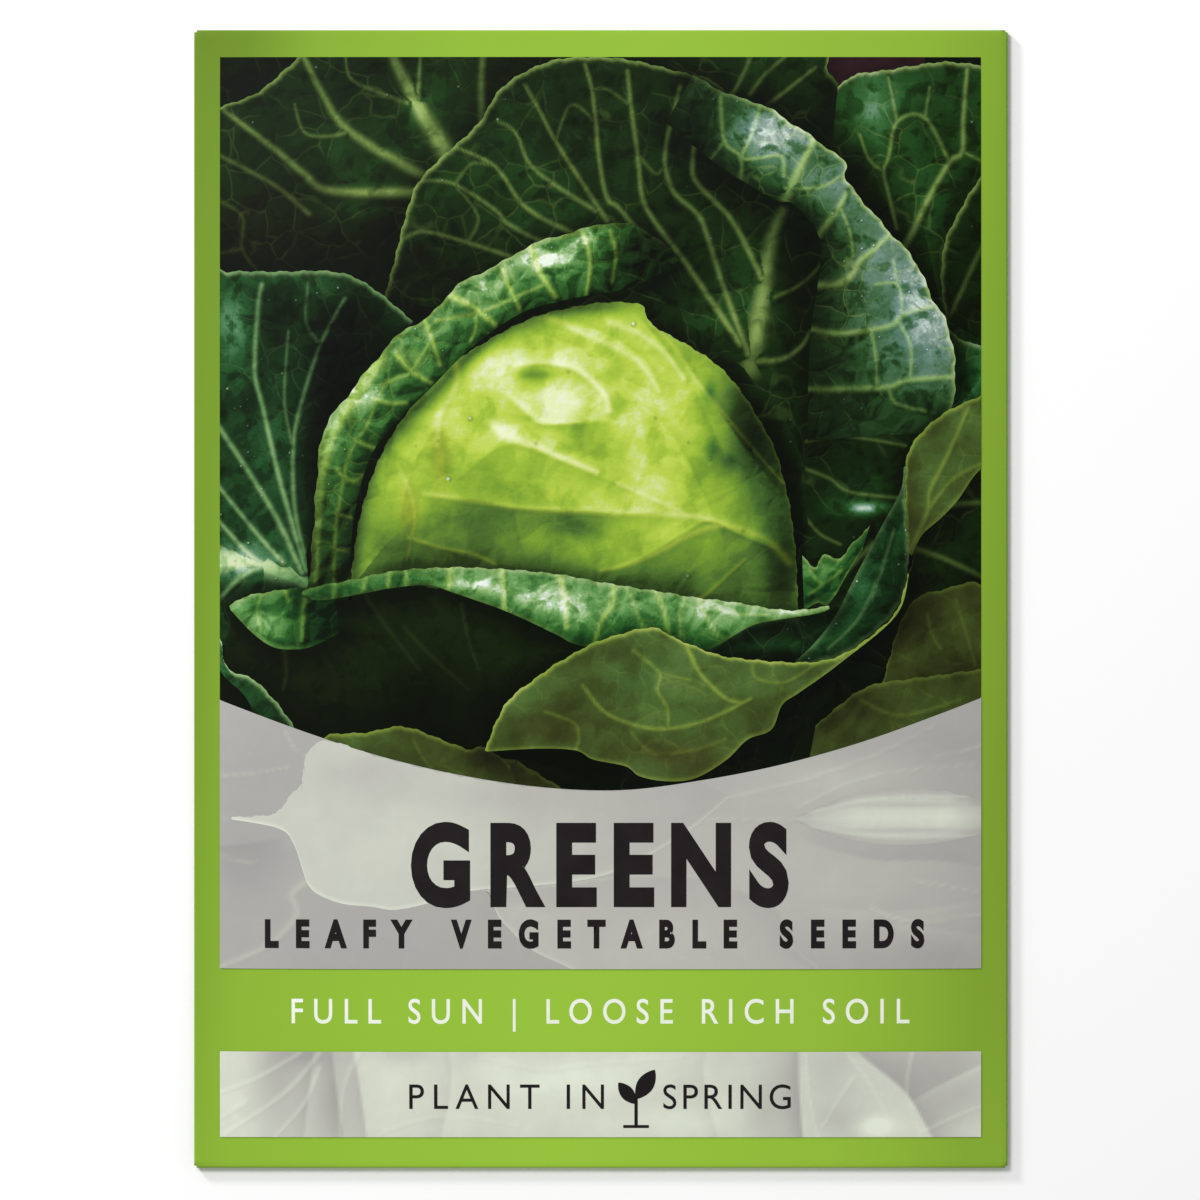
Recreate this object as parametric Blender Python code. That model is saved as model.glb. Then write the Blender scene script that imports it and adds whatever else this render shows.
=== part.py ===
"""A folded paper seed packet with loose seeds sealed inside, lying on its back.

One sheet of coated paper makes the whole packet: a front panel, a back panel folded under it along
the left edge, a side flap folded round the right edge onto the back panel, and a bottom and a top
flap folded over both and glued. Strips of glue hold the three flaps. The seeds lie on the back panel.

Frame: +Z up, the printed front faces +Z, the packet's top is towards +Y, and the origin is at the
centre of the underside, where the two end flaps rest on a table. Units are metres.
"""

import math
import random

import bmesh
import bpy

MM = 0.001

# Outside of the packet, over its folds.
WIDTH = 82.5 * MM
HEIGHT = 115.4 * MM

# The sheet and how closely its layers lie.
PAPER = 0.12 * MM
CREASE = 0.20 * MM  # how far the middle of the sheet runs out past a panel in each fold
GLUE = 0.05 * MM  # in the side seam; under an end flap the glue is thicker by the side flap's layer
GLUE_CLEARANCE = 0.05 * MM  # above and below each strip of glue

# The flaps.
SIDE_FLAP = 11.0 * MM
END_FLAP = 14.0 * MM
SIDE_FLAP_TAPER = 6.0 * MM  # how much shorter each end of the side flap is at its free edge
END_FLAP_TAPER = 5.0 * MM  # the same for the ends of the bottom and top flaps
BACK_EDGE_INSET = 0.6 * MM  # from the right fold to the back panel's free edge
GLUE_MARGIN = 1.5 * MM  # bare paper round each strip of glue

# The seeds, in columns and rows, each shifted a little so that they look scattered.
SEED_DIAMETER = 1.8 * MM
SEED_SPREAD = 0.1  # diameters run from this share below to this share above
SEED_CLEARANCE = 0.20 * MM
SEED_COLUMNS = 8
SEED_ROWS = 6
SEED_BED_WIDTH = 36.0 * MM
SEED_BED_LENGTH = 30.0 * MM
SEED_BED_FROM_BOTTOM = 27.0 * MM  # from the bottom of the pouch to the lowest row's cells
LARGEST_SEED = SEED_DIAMETER * (1 + SEED_SPREAD)

# The pouch between the two panels.
POUCH_AT_EDGE = 0.30 * MM
POUCH_SLACK = 0.42 * MM  # at the middle, over the largest seed and its clearances
POUCH_AT_MIDDLE = LARGEST_SEED + 2 * SEED_CLEARANCE + POUCH_SLACK
PILLOW_POWER = 4.0  # a higher power gives a flatter front with steeper borders

# Mesh density.
PANEL_COLUMNS = 18
PANEL_ROWS = 24
FOLD_STEPS = 5

# Heights of the middle of the sheet in each layer, from the table up.
LAYER = PAPER + GLUE + 2 * GLUE_CLEARANCE
END_FLAP_Z = PAPER / 2
SIDE_FLAP_Z = END_FLAP_Z + LAYER
BACK_Z = SIDE_FLAP_Z + LAYER
BACK_INSIDE_Z = BACK_Z + PAPER / 2
FRONT_EDGE_Z = BACK_INSIDE_Z + POUCH_AT_EDGE + PAPER / 2

# Half sizes of the flat part of the panels, up to where each fold begins.
PANEL_X = WIDTH / 2 - CREASE - PAPER / 2
PANEL_Y = HEIGHT / 2 - CREASE - PAPER / 2

GREEN = (0.30, 0.53, 0.045)
GLUE_COLOUR = (0.86, 0.84, 0.76)
SEED_COLOUR = (0.10, 0.045, 0.025)


def clear_scene():
    for obj in list(bpy.data.objects):
        bpy.data.objects.remove(obj, do_unlink=True)


def material(name, colour, roughness):
    made = bpy.data.materials.new(name)
    made.use_nodes = True
    shader = made.node_tree.nodes["Principled BSDF"]
    shader.inputs["Base Color"].default_value = (*colour, 1.0)
    shader.inputs["Roughness"].default_value = roughness
    shader.inputs["Metallic"].default_value = 0.0
    return made


def add_object(name, mesh, finish):
    obj = bpy.data.objects.new(name, mesh)
    obj.data.materials.append(finish)
    bpy.context.scene.collection.objects.link(obj)
    return obj


def stations(low, high, count):
    """count + 1 evenly spaced values."""
    return [low + (high - low) * i / count for i in range(count + 1)]


def pouch(x, y):
    """The clear height between the panels at a point."""
    across = 1 - min(1.0, abs(x) / PANEL_X) ** PILLOW_POWER
    along = 1 - min(1.0, abs(y) / PANEL_Y) ** PILLOW_POWER
    return POUCH_AT_EDGE + (POUCH_AT_MIDDLE - POUCH_AT_EDGE) * across * along


def front_z(x, y):
    return BACK_INSIDE_Z + pouch(x, y) + PAPER / 2


def fold(edge, outward, to_z):
    """Rows of points that carry a panel's edge round a half-turn and under it, to another height.

    edge is the panel's row of points, and outward the direction (x, y) in which the fold leaves it."""
    middle = (FRONT_EDGE_Z + to_z) / 2
    half = (FRONT_EDGE_Z - to_z) / 2
    rows = []
    for step in range(1, FOLD_STEPS + 1):
        angle = math.pi * step / FOLD_STEPS
        reach = CREASE * math.sin(angle)
        height = middle + half * math.cos(angle)
        rows.append([(x + outward[0] * reach, y + outward[1] * reach, height) for x, y, _ in edge])
    return rows


def panel_under(edge, outward, z, depths, taper=0.0):
    """Rows of points that run back under the packet from a fold; taper shortens the row at the end."""
    half = max(max(abs(x * outward[1]), abs(y * outward[0])) for x, y, _ in edge)
    rows = []
    for depth in depths:
        shorten = 1 - taper * depth / max(depths) / half
        keep_x = shorten if outward[1] else 1.0
        keep_y = shorten if outward[0] else 1.0
        rows.append(
            [
                (x * keep_x - outward[0] * depth, y * keep_y - outward[1] * depth, z)
                for x, y, _ in edge
            ]
        )
    return rows


def skin(bm, first_row, rows):
    """Adds rows of points after a row of vertices, with faces between each row and the next."""
    previous = first_row
    for row in rows:
        current = [bm.verts.new(point) for point in row]
        for i in range(len(row) - 1):
            bm.faces.new((previous[i], previous[i + 1], current[i + 1], current[i]))
        previous = current


def folded_sheet(finish):
    bm = bmesh.new()
    xs = stations(-PANEL_X, PANEL_X, PANEL_COLUMNS)
    ys = stations(-PANEL_Y, PANEL_Y, PANEL_ROWS)
    front = [[bm.verts.new((x, y, front_z(x, y))) for x in xs] for y in ys]
    for j in range(PANEL_ROWS):
        for i in range(PANEL_COLUMNS):
            bm.faces.new((front[j][i], front[j][i + 1], front[j + 1][i + 1], front[j + 1][i]))

    back_depths = stations(0.0, 2 * PANEL_X - BACK_EDGE_INSET, PANEL_COLUMNS // 3)[1:]
    # Each side of the front panel: its vertices, the way its fold leaves, and what lies beyond.
    sides = (
        ([row[0] for row in front], (-1, 0), BACK_Z, back_depths, 0.0),
        ([row[-1] for row in front], (1, 0), SIDE_FLAP_Z, [SIDE_FLAP], SIDE_FLAP_TAPER),
        (front[0], (0, -1), END_FLAP_Z, [END_FLAP], END_FLAP_TAPER),
        (front[-1], (0, 1), END_FLAP_Z, [END_FLAP], END_FLAP_TAPER),
    )
    for edge, outward, z, depths, taper in sides:
        points = [tuple(vertex.co) for vertex in edge]
        rows = fold(points, outward, z) + panel_under(points, outward, z, depths, taper)
        skin(bm, edge, rows)

    bmesh.ops.recalc_face_normals(bm, faces=bm.faces)
    mesh = bpy.data.meshes.new("packet_sheet")
    bm.to_mesh(mesh)
    bm.free()
    mesh.shade_smooth()
    sheet = add_object("packet_sheet", mesh, finish)
    thicken = sheet.modifiers.new("paper_thickness", "SOLIDIFY")
    thicken.thickness = PAPER
    thicken.offset = 0.0
    thicken.use_even_offset = True
    return sheet


def glue_strip(name, low, high, below_z, above_z, finish):
    """A flat strip of glue that fills the space between two layers of paper, less its clearance."""
    bottom = below_z + PAPER / 2 + GLUE_CLEARANCE
    top = above_z - PAPER / 2 - GLUE_CLEARANCE
    mesh = bpy.data.meshes.new(name)
    bm = bmesh.new()
    bmesh.ops.create_cube(bm, size=1.0)
    bmesh.ops.scale(bm, vec=(high[0] - low[0], high[1] - low[1], top - bottom), verts=bm.verts)
    bm.to_mesh(mesh)
    bm.free()
    strip = add_object(name, mesh, finish)
    strip.location = ((low[0] + high[0]) / 2, (low[1] + high[1]) / 2, (bottom + top) / 2)


def glue_strips(finish):
    """The side strip holds the side flap to the back panel, and each end strip holds an end flap to it.

    The end strips stop short of the side flap, which lies between an end flap and the back panel."""
    side_left = PANEL_X - SIDE_FLAP + GLUE_MARGIN
    side_right = PANEL_X - BACK_EDGE_INSET - GLUE_MARGIN
    side_half = PANEL_Y - SIDE_FLAP_TAPER - GLUE_MARGIN
    glue_strip(
        "side_seam_glue", (side_left, -side_half), (side_right, side_half), SIDE_FLAP_Z, BACK_Z, finish
    )
    end_left = -PANEL_X + END_FLAP_TAPER + GLUE_MARGIN
    end_right = PANEL_X - SIDE_FLAP - GLUE_MARGIN
    outer = PANEL_Y - GLUE_MARGIN
    inner = PANEL_Y - END_FLAP + GLUE_MARGIN
    glue_strip("bottom_flap_glue", (end_left, -outer), (end_right, -inner), END_FLAP_Z, BACK_Z, finish)
    glue_strip("top_flap_glue", (end_left, inner), (end_right, outer), END_FLAP_Z, BACK_Z, finish)


def seed_places():
    """Where each seed lies, and its diameter: one seed to a cell, so that no two touch."""
    chance = random.Random(7)
    cell_x = SEED_BED_WIDTH / SEED_COLUMNS
    cell_y = SEED_BED_LENGTH / SEED_ROWS
    shift_x = (cell_x - LARGEST_SEED - SEED_CLEARANCE) / 2
    shift_y = (cell_y - LARGEST_SEED - SEED_CLEARANCE) / 2
    found = []
    for row in range(SEED_ROWS):
        for column in range(SEED_COLUMNS):
            x = (column + 0.5) * cell_x - SEED_BED_WIDTH / 2
            y = (row + 0.5) * cell_y + SEED_BED_FROM_BOTTOM - PANEL_Y
            diameter = SEED_DIAMETER * chance.uniform(1 - SEED_SPREAD, 1 + SEED_SPREAD)
            x += chance.uniform(-shift_x, shift_x)
            y += chance.uniform(-shift_y, shift_y)
            found.append((x, y, diameter))
    return found


def seeds(finish):
    mesh = bpy.data.meshes.new("seed")
    bm = bmesh.new()
    bmesh.ops.create_icosphere(bm, subdivisions=2, radius=0.5)
    bm.to_mesh(mesh)
    bm.free()
    mesh.shade_smooth()
    mesh.materials.append(finish)
    for number, (x, y, diameter) in enumerate(seed_places(), start=1):
        seed = bpy.data.objects.new(f"seed_{number:02d}", mesh)
        seed.scale = (diameter, diameter, diameter)
        seed.location = (x, y, BACK_INSIDE_Z + SEED_CLEARANCE + diameter / 2)
        bpy.context.scene.collection.objects.link(seed)


def main():
    clear_scene()
    folded_sheet(material("printed_paper", GREEN, 0.5))
    glue_strips(material("glue", GLUE_COLOUR, 0.4))
    seeds(material("seed_coat", SEED_COLOUR, 0.6))


main()
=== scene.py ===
# %% [markdown]
# # A folded paper seed packet, seen from above
# The packet is one sheet of coated paper, folded and glued into a flat pouch that holds a spoonful of
# seeds. This script gives the packed model its looks: the paper itself, the ink on it, the seeds, a
# floor, the light and a camera. It starts from the packed model, which fixes every size and place.

# %% Load the packed model
import math

import bmesh
import bpy
import numpy as np
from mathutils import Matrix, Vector
from mathutils.kdtree import KDTree


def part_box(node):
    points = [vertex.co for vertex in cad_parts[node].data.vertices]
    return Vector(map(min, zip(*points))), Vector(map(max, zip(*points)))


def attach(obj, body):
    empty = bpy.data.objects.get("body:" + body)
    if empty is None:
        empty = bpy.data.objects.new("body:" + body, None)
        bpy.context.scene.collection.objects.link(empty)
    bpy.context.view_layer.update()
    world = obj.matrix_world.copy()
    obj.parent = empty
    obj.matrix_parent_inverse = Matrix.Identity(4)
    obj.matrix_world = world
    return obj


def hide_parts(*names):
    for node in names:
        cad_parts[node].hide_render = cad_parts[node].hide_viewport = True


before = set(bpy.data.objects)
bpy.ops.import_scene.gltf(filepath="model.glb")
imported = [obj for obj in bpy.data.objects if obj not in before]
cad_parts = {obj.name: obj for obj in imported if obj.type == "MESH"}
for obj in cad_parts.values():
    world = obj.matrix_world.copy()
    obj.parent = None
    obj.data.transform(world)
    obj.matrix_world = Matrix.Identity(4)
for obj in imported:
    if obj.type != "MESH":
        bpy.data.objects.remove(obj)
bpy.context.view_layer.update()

MM = 0.001

# %% [markdown]
# ## Arithmetic on shader sockets
# A material is a small drawing made of numbers, and numbers are easiest to read as formulas. This class
# wraps a socket, so that `1 - mask` or `light * 0.4` adds the node that does it. Vectors take the same
# operators through Vector Math. Colours never do: a Math node would turn them grey, so they are mixed.


# %% A socket that takes operators
class Value:
    def __init__(self, paint, socket):
        self.paint = paint
        self.socket = socket

    def combine(self, operation, first, second):
        kinds = {getattr(first, "kind", ""), getattr(second, "kind", "")}
        vector = bool(kinds & {"VECTOR", "RGBA"})
        node = "ShaderNodeVectorMath" if vector else "ShaderNodeMath"
        return self.paint.node(node, {"operation": operation}, {0: first, 1: second})

    @property
    def kind(self):
        return self.socket.type

    def __add__(self, other):
        return self.combine("ADD", self, other)

    def __radd__(self, other):
        return self.combine("ADD", other, self)

    def __sub__(self, other):
        return self.combine("SUBTRACT", self, other)

    def __rsub__(self, other):
        return self.combine("SUBTRACT", other, self)

    def __mul__(self, other):
        return self.combine("MULTIPLY", self, other)

    def __rmul__(self, other):
        return self.combine("MULTIPLY", other, self)

    def __truediv__(self, other):
        return self.combine("DIVIDE", self, other)

    def __rtruediv__(self, other):
        return self.combine("DIVIDE", other, self)

    def __lt__(self, other):
        return self.combine("LESS_THAN", self, other)


print("operators ready:", ", ".join(n for n in vars(Value) if n.startswith("__") and n != "__init__"))

# %% [markdown]
# One method adds any node: its type, its settings first, then what goes into its sockets. The rest are
# short names for the nodes that a printed surface needs again and again: a noise, a cell pattern, a
# soft step from 0 to 1, a ramp from a number to a colour, and a mix of two colours.


# %% A material that is built from expressions
class Paint:
    def __init__(self, name, **constants):
        self.material = bpy.data.materials.new(name)
        self.material.use_nodes = True
        self.tree = self.material.node_tree
        self.shader = self.tree.nodes["Principled BSDF"]
        for socket, value in constants.items():
            self.shader.inputs[socket.replace("_", " ")].default_value = value

    def node(self, kind, settings=None, sockets=None, out=0):
        made = self.tree.nodes.new(kind)
        for key, value in (settings or {}).items():
            if key == "stops":
                self.set_stops(made.color_ramp, value)
            else:
                setattr(made, key, value)
        for key, value in (sockets or {}).items():
            self.feed(made.inputs[key], value)
        return Value(self, made.outputs[out])

    def feed(self, socket, value):
        if isinstance(value, Value):
            self.tree.links.new(value.socket, socket)
        elif socket.type == "RGBA":
            socket.default_value = (*value[:3], 1.0)
        elif socket.type == "VECTOR" and isinstance(value, (int, float)):
            socket.default_value = (value, value, value)
        else:
            socket.default_value = value

    @staticmethod
    def set_stops(ramp, stops):
        while len(ramp.elements) < len(stops):
            ramp.elements.new(1.0)
        for element, (place, colour) in zip(ramp.elements, stops):
            element.position = place
            element.color = (*colour, 1.0)

    def place(self):
        """Where the shaded point lies, in millimetres."""
        return self.node("ShaderNodeTexCoord", out="Object") * (1 / MM)

    def attribute(self, name):
        return self.node("ShaderNodeAttribute", {"attribute_name": name}, out="Fac")

    def noise(self, place, size, detail=2.0, out="Fac"):
        sockets = {"Vector": place, "Scale": 1 / size, "Detail": detail}
        return self.node("ShaderNodeTexNoise", sockets=sockets, out=out)

    def cells(self, place, size, feature="F1", out="Distance"):
        sockets = {"Vector": place, "Scale": 1 / size}
        return self.node("ShaderNodeTexVoronoi", {"feature": feature}, sockets, out)

    def step(self, value, low, high):
        """0 below low, 1 above high, smooth between; low may be the greater of the two."""
        sockets = {"Value": value, "From Min": low, "From Max": high}
        return self.node("ShaderNodeMapRange", {"interpolation_type": "SMOOTHSTEP"}, sockets)

    def ramp(self, value, stops):
        return self.node("ShaderNodeValToRGB", {"stops": stops}, {0: value})

    def mix(self, first, second, factor, blend="MIX"):
        settings = {"data_type": "RGBA", "blend_type": blend, "clamp_factor": True}
        return self.node("ShaderNodeMix", settings, {0: factor, 6: first, 7: second}, out=2)

    def bump(self, height, strength, distance):
        sockets = {"Strength": strength, "Distance": distance, "Height": height}
        return self.node("ShaderNodeBump", sockets=sockets)

    def finish(self, **sockets):
        for name, value in sockets.items():
            self.feed(self.shader.inputs[name.replace("_", " ")], value)
        return self.material


print("a fresh material has", len(Paint("test_swatch").tree.nodes), "nodes")
bpy.data.materials.remove(bpy.data.materials["test_swatch"])

# %% [markdown]
# ## Ink colours
# Printers name a colour by how it looks, from 0 to 255, but light adds up in linear numbers. `ink`
# turns one into the other. Paper gives back 85% of the light at most, so every ink is scaled by that.

# %% Colours
PAPER_WHITE = 0.85


def ink(red, green, blue):
    shares = [c / 255 for c in (red, green, blue)]
    linear = [s / 12.92 if s < 0.04045 else ((s + 0.055) / 1.055) ** 2.4 for s in shares]
    return tuple(PAPER_WHITE * share for share in linear)


print("mid green ink, linear:", [round(c, 3) for c in ink(148, 190, 60)])

# %% [markdown]
# ## The shape of the front
# A filled pouch stands highest over its middle and comes down to its folds. The rule for its height is
# the model's own: a flat-topped bump, the product of one curve across and one along. Everything that is
# printed on the front lies on this surface, a few thousandths of a millimetre above the layer below, so
# one function says where the paper is and every later piece asks it.

# %% Front surface
PAPER = 0.12 * MM
CREASE = 0.20 * MM
PILLOW_POWER = 4
LAYER = 0.27 * MM  # a sheet of paper and the glue under it
POUCH_AT_EDGE = 0.30 * MM
INK_LIFT = 0.007 * MM

low, high = (Vector(corner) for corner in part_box("packet_sheet"))
half_width = (high.x - low.x) / 2
half_height = (high.y - low.y) / 2
panel_x = half_width - CREASE - PAPER / 2
panel_y = half_height - CREASE - PAPER / 2
end_flap_z = low.z + PAPER / 2
side_flap_z = end_flap_z + LAYER
back_z = side_flap_z + LAYER
edge_top = back_z + PAPER + POUCH_AT_EDGE + PAPER / 2
swell = high.z - edge_top - PAPER / 2


def front_top(x, y):
    """Height of the paper's printed face, in metres, for x and y in metres or arrays of them."""
    across = 1 - np.minimum(1, np.abs(x) / panel_x) ** PILLOW_POWER
    along = 1 - np.minimum(1, np.abs(y) / panel_y) ** PILLOW_POWER
    return edge_top + PAPER / 2 + swell * across * along


print("front, mm: border", round(front_top(panel_x, 0) / MM, 2), "middle", round(front_top(0, 0) / MM, 2))

# %% [markdown]
# ## The folded sheet
# The packet is cut from one sheet and folded: a front panel, a back panel that turns under it at the
# left, a side flap at the right and a flap at each end. It could be a thin box, but then the flaps, the
# seam and the white core at the cut edges would be missing, and those are what the back shows. So the
# sheet is drawn as one surface, with rows of points carried round each fold, and given its thickness by
# a Solidify modifier, which also puts white paper on the inside and the cut edges.

# %% Grid helpers
FRONT_STEP = 0.6 * MM
FOLD_STEPS = 10
SIDE_FLAP, SIDE_FLAP_TAPER = 11.0 * MM, 6.0 * MM
END_FLAP, END_FLAP_TAPER = 14.0 * MM, 5.0 * MM
BACK_EDGE_INSET = 0.6 * MM


def evenly(start, end, step):
    return np.linspace(start, end, max(2, math.ceil(abs(end - start) / step) + 1))


def add_piece(name, mesh, material):
    piece = bpy.data.objects.new(name, mesh)
    if material:
        mesh.materials.append(material)
    bpy.context.scene.collection.objects.link(piece)
    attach(piece, "root")
    return piece


def grid_faces(rows, columns):
    corner = (np.arange(rows - 1)[:, None] * columns + np.arange(columns - 1)).ravel()
    return np.stack([corner, corner + 1, corner + columns + 1, corner + columns], axis=1)


print("front grid:", len(evenly(-panel_x, panel_x, FRONT_STEP)), "columns")


# %% Folds and flaps
def fold_rows(edge, outward, to_z):
    """Rows of points that carry a panel's edge round a half-turn, down to another height."""
    middle_z, half_z = (edge_top + to_z) / 2, (edge_top - to_z) / 2
    rows = []
    for step in range(1, FOLD_STEPS + 1):
        turn = math.pi * step / FOLD_STEPS
        reach, rise = CREASE * math.sin(turn), half_z * math.cos(turn)
        out_x, out_y = outward[0] * reach, outward[1] * reach
        rows.append([(x + out_x, y + out_y, middle_z + rise) for x, y, _ in edge])
    return rows


def flap_rows(edge, outward, z, depths, taper):
    """Rows of points that run back under the packet; taper shortens the last one at both ends."""
    half = max(max(abs(x * outward[1]), abs(y * outward[0])) for x, y, _ in edge)
    rows = []
    for depth in depths:
        keep = 1 - taper * depth / depths[-1] / half
        keep_x, keep_y = (keep, 1) if outward[1] else (1, keep)
        back_x, back_y = outward[0] * depth, outward[1] * depth
        rows.append([(x * keep_x - back_x, y * keep_y - back_y, z) for x, y, _ in edge])
    return rows


def sheet_mesh():
    bm = bmesh.new()
    xs = evenly(-panel_x, panel_x, FRONT_STEP)
    ys = evenly(-panel_y, panel_y, FRONT_STEP)
    front = [[bm.verts.new((x, y, front_top(x, y) - PAPER / 2)) for x in xs] for y in ys]
    for lower, upper in zip(front, front[1:]):
        for i in range(len(xs) - 1):
            bm.faces.new((lower[i], lower[i + 1], upper[i + 1], upper[i]))
    sides = (
        ([row[0] for row in front], (-1, 0), back_z, 2 * panel_x - BACK_EDGE_INSET, 0.0),
        ([row[-1] for row in front], (1, 0), side_flap_z, SIDE_FLAP, SIDE_FLAP_TAPER),
        (front[0], (0, -1), end_flap_z, END_FLAP, END_FLAP_TAPER),
        (front[-1], (0, 1), end_flap_z, END_FLAP, END_FLAP_TAPER),
    )
    for edge, outward, z, depth, taper in sides:
        points = [tuple(vertex.co) for vertex in edge]
        depths = evenly(0, depth, 3 * MM)[1:]
        previous = edge
        for row in fold_rows(points, outward, z) + flap_rows(points, outward, z, depths, taper):
            current = [bm.verts.new(point) for point in row]
            for i in range(len(row) - 1):
                bm.faces.new((previous[i], previous[i + 1], current[i + 1], current[i]))
            previous = current
    bmesh.ops.recalc_face_normals(bm, faces=bm.faces)
    mesh = bpy.data.meshes.new("packet_paper")
    bm.to_mesh(mesh)
    bm.free()
    mesh.shade_smooth()
    return mesh


# %% [markdown]
# ## The printed paper
# The border is a light green ink on coated stock. Across the packet the green runs from dark at both
# sides to bright in the middle, on a slight slant, as such a border is often printed. A ramp along one
# slanted measure does that. Over the print lies painted counter-shade: the ramp's left end is a little
# darker than its right end, and the border darkens towards the top and lightens towards the bottom, to
# offset the light from the upper left, which falls more on the left and upper folds. Close up, coated
# paper shows faint fibres and a soft, uneven gloss, so a fine noise moves the colour, the roughness and
# a very low bump.

# %% Green border ink
SLANT = 0.082
GLOSS = 0.42
PRINT_SHINE = 0.04
# the second number is painted counter-shade: darker towards the top fold, lighter towards the bottom one
BORDER_GAIN, FOLD_COUNTER_SHADE = 1.05, 0.14
FIBRE, FIBRE_STRETCH = 0.09, (1.0, 3.0, 1.0)
FIBRE_DARK = 0.07
SHEEN_SIZE = 7.0
SHEEN_SWING, FIBRE_SWING = 0.12, 0.10
FIBRE_BUMP, FIBRE_DEPTH = 0.12, 0.01 * MM


def border_ink(paint, place):
    """The border's colour at a place: a ramp over the distance from the left edge, on a slant, times
    painted counter-shade that darkens the top and lightens the bottom.
    """
    rightward = paint.node("ShaderNodeSeparateXYZ", None, {0: place}, "X") / (half_width / MM)
    upward = paint.node("ShaderNodeSeparateXYZ", None, {0: place}, "Y") / (half_height / MM)
    lean = SLANT * half_height / half_width
    along = (1 + rightward + (1 - upward) * lean) / (2 + 2 * lean)
    # a printed gradient, with painted counter-shade in its ends: the left end a touch darker and the
    # right end a touch lighter, against the light from the upper left
    stops = [
        (0.00, ink(112, 145, 42)),
        (0.06, ink(115, 149, 44)),
        (0.14, ink(137, 176, 54)),
        (0.30, ink(146, 189, 59)),
        (0.50, ink(151, 194, 61)),
        (0.80, ink(146, 186, 59)),
        (0.89, ink(138, 176, 55)),
        (0.95, ink(130, 166, 52)),
        (1.00, ink(129, 164, 52)),
    ]
    # the factor is painted counter-shade against the light from the upper left: darker at the top,
    # lighter at the bottom
    return paint.ramp(along, stops) * (BORDER_GAIN - upward * upward * upward * FOLD_COUNTER_SHADE)


def coated_surface(paint, place, colour, gloss=GLOSS):
    """Gives a printed colour the feel of coated paper: fine fibres, uneven gloss, a low grain."""
    fibres = paint.noise(place * FIBRE_STRETCH, FIBRE, 3)
    sheen = paint.noise(place, SHEEN_SIZE, 2)
    tint = paint.mix(colour, (0, 0, 0), fibres * FIBRE_DARK)
    rough = gloss + (sheen - 0.5) * SHEEN_SWING + (fibres - 0.5) * FIBRE_SWING
    bump = paint.bump(fibres, FIBRE_BUMP, FIBRE_DEPTH)
    return paint.finish(Base_Color=tint, Roughness=rough, Normal=bump)


def printed_paper():
    paint = Paint("green_print", Specular_IOR_Level=PRINT_SHINE)
    place = paint.place()
    return coated_surface(paint, place, border_ink(paint, place))


def bare_paper():
    paint = Paint("bare_paper", Specular_IOR_Level=0.25)
    place = paint.place()
    pulp = paint.noise(place, 0.5, 4)
    colour = paint.mix(ink(250, 249, 244), ink(228, 225, 214), paint.step(pulp, 0.35, 0.75))
    return coated_surface(paint, place, colour, 0.75)


sheet = add_piece("packet_paper", sheet_mesh(), printed_paper())
sheet.data.materials.append(bare_paper())
thickness = sheet.modifiers.new("paper_thickness", "SOLIDIFY")
thickness.thickness = PAPER
thickness.offset = 0.0
thickness.use_even_offset = True
thickness.material_offset = 1
thickness.material_offset_rim = 1
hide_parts("packet_sheet")
print("sheet of paper:", len(sheet.data.polygons), "faces before its thickness")

# %% [markdown]
# ## Laying print on the front
# Each printed area is a thin skin of its own that follows the paper. That keeps its outline crisp at
# any distance, which a painted mask wouldn't, and lets every area have its own ink. The skins are made
# as grids between two smooth lines, because a leaf, a rolled rim and a curved panel are all a strip
# between one edge and another. What crosses the border of the picture is pulled back onto it.

# %% Smooth lines and skins
WINDOW_LEFT, WINDOW_RIGHT = -38.6, 38.5  # the picture's frame, in mm from the middle of the packet
WINDOW_TOP, WINDOW_BOTTOM = 54.9, -37.4
SMALLEST_FACE = 1e-4  # mm2; anything less is a sliver left by the frame's edge
SAME_PLACE = 1e-9
CURVE_STEPS = 9
FRAME_BOX = (WINDOW_LEFT, WINDOW_RIGHT, WINDOW_BOTTOM, WINDOW_TOP)


def smooth_line(points, count):
    """count points, evenly spaced along a smooth curve through the given ones."""
    knots = np.array([points[0], *points, points[-1]], dtype=float)
    t = np.linspace(0, 1, CURVE_STEPS)[:, None]
    pieces = []
    for a, b, c, d in zip(knots, knots[1:], knots[2:], knots[3:]):
        bend = 2 * a - 5 * b + 4 * c - d
        twist = 3 * b - a - 3 * c + d
        pieces.append((2 * b + (c - a) * t + bend * t**2 + twist * t**3) / 2)
    fine = np.concatenate(pieces)
    travelled = np.append(0, np.cumsum(np.hypot(*np.diff(fine, axis=0).T)))
    stops = np.linspace(0, travelled[-1], count)
    return np.stack([np.interp(stops, travelled, fine[:, k]) for k in (0, 1)], axis=1)


def line_length(points):
    return float(np.hypot(*np.diff(np.array(points, dtype=float), axis=0).T).sum())


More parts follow.
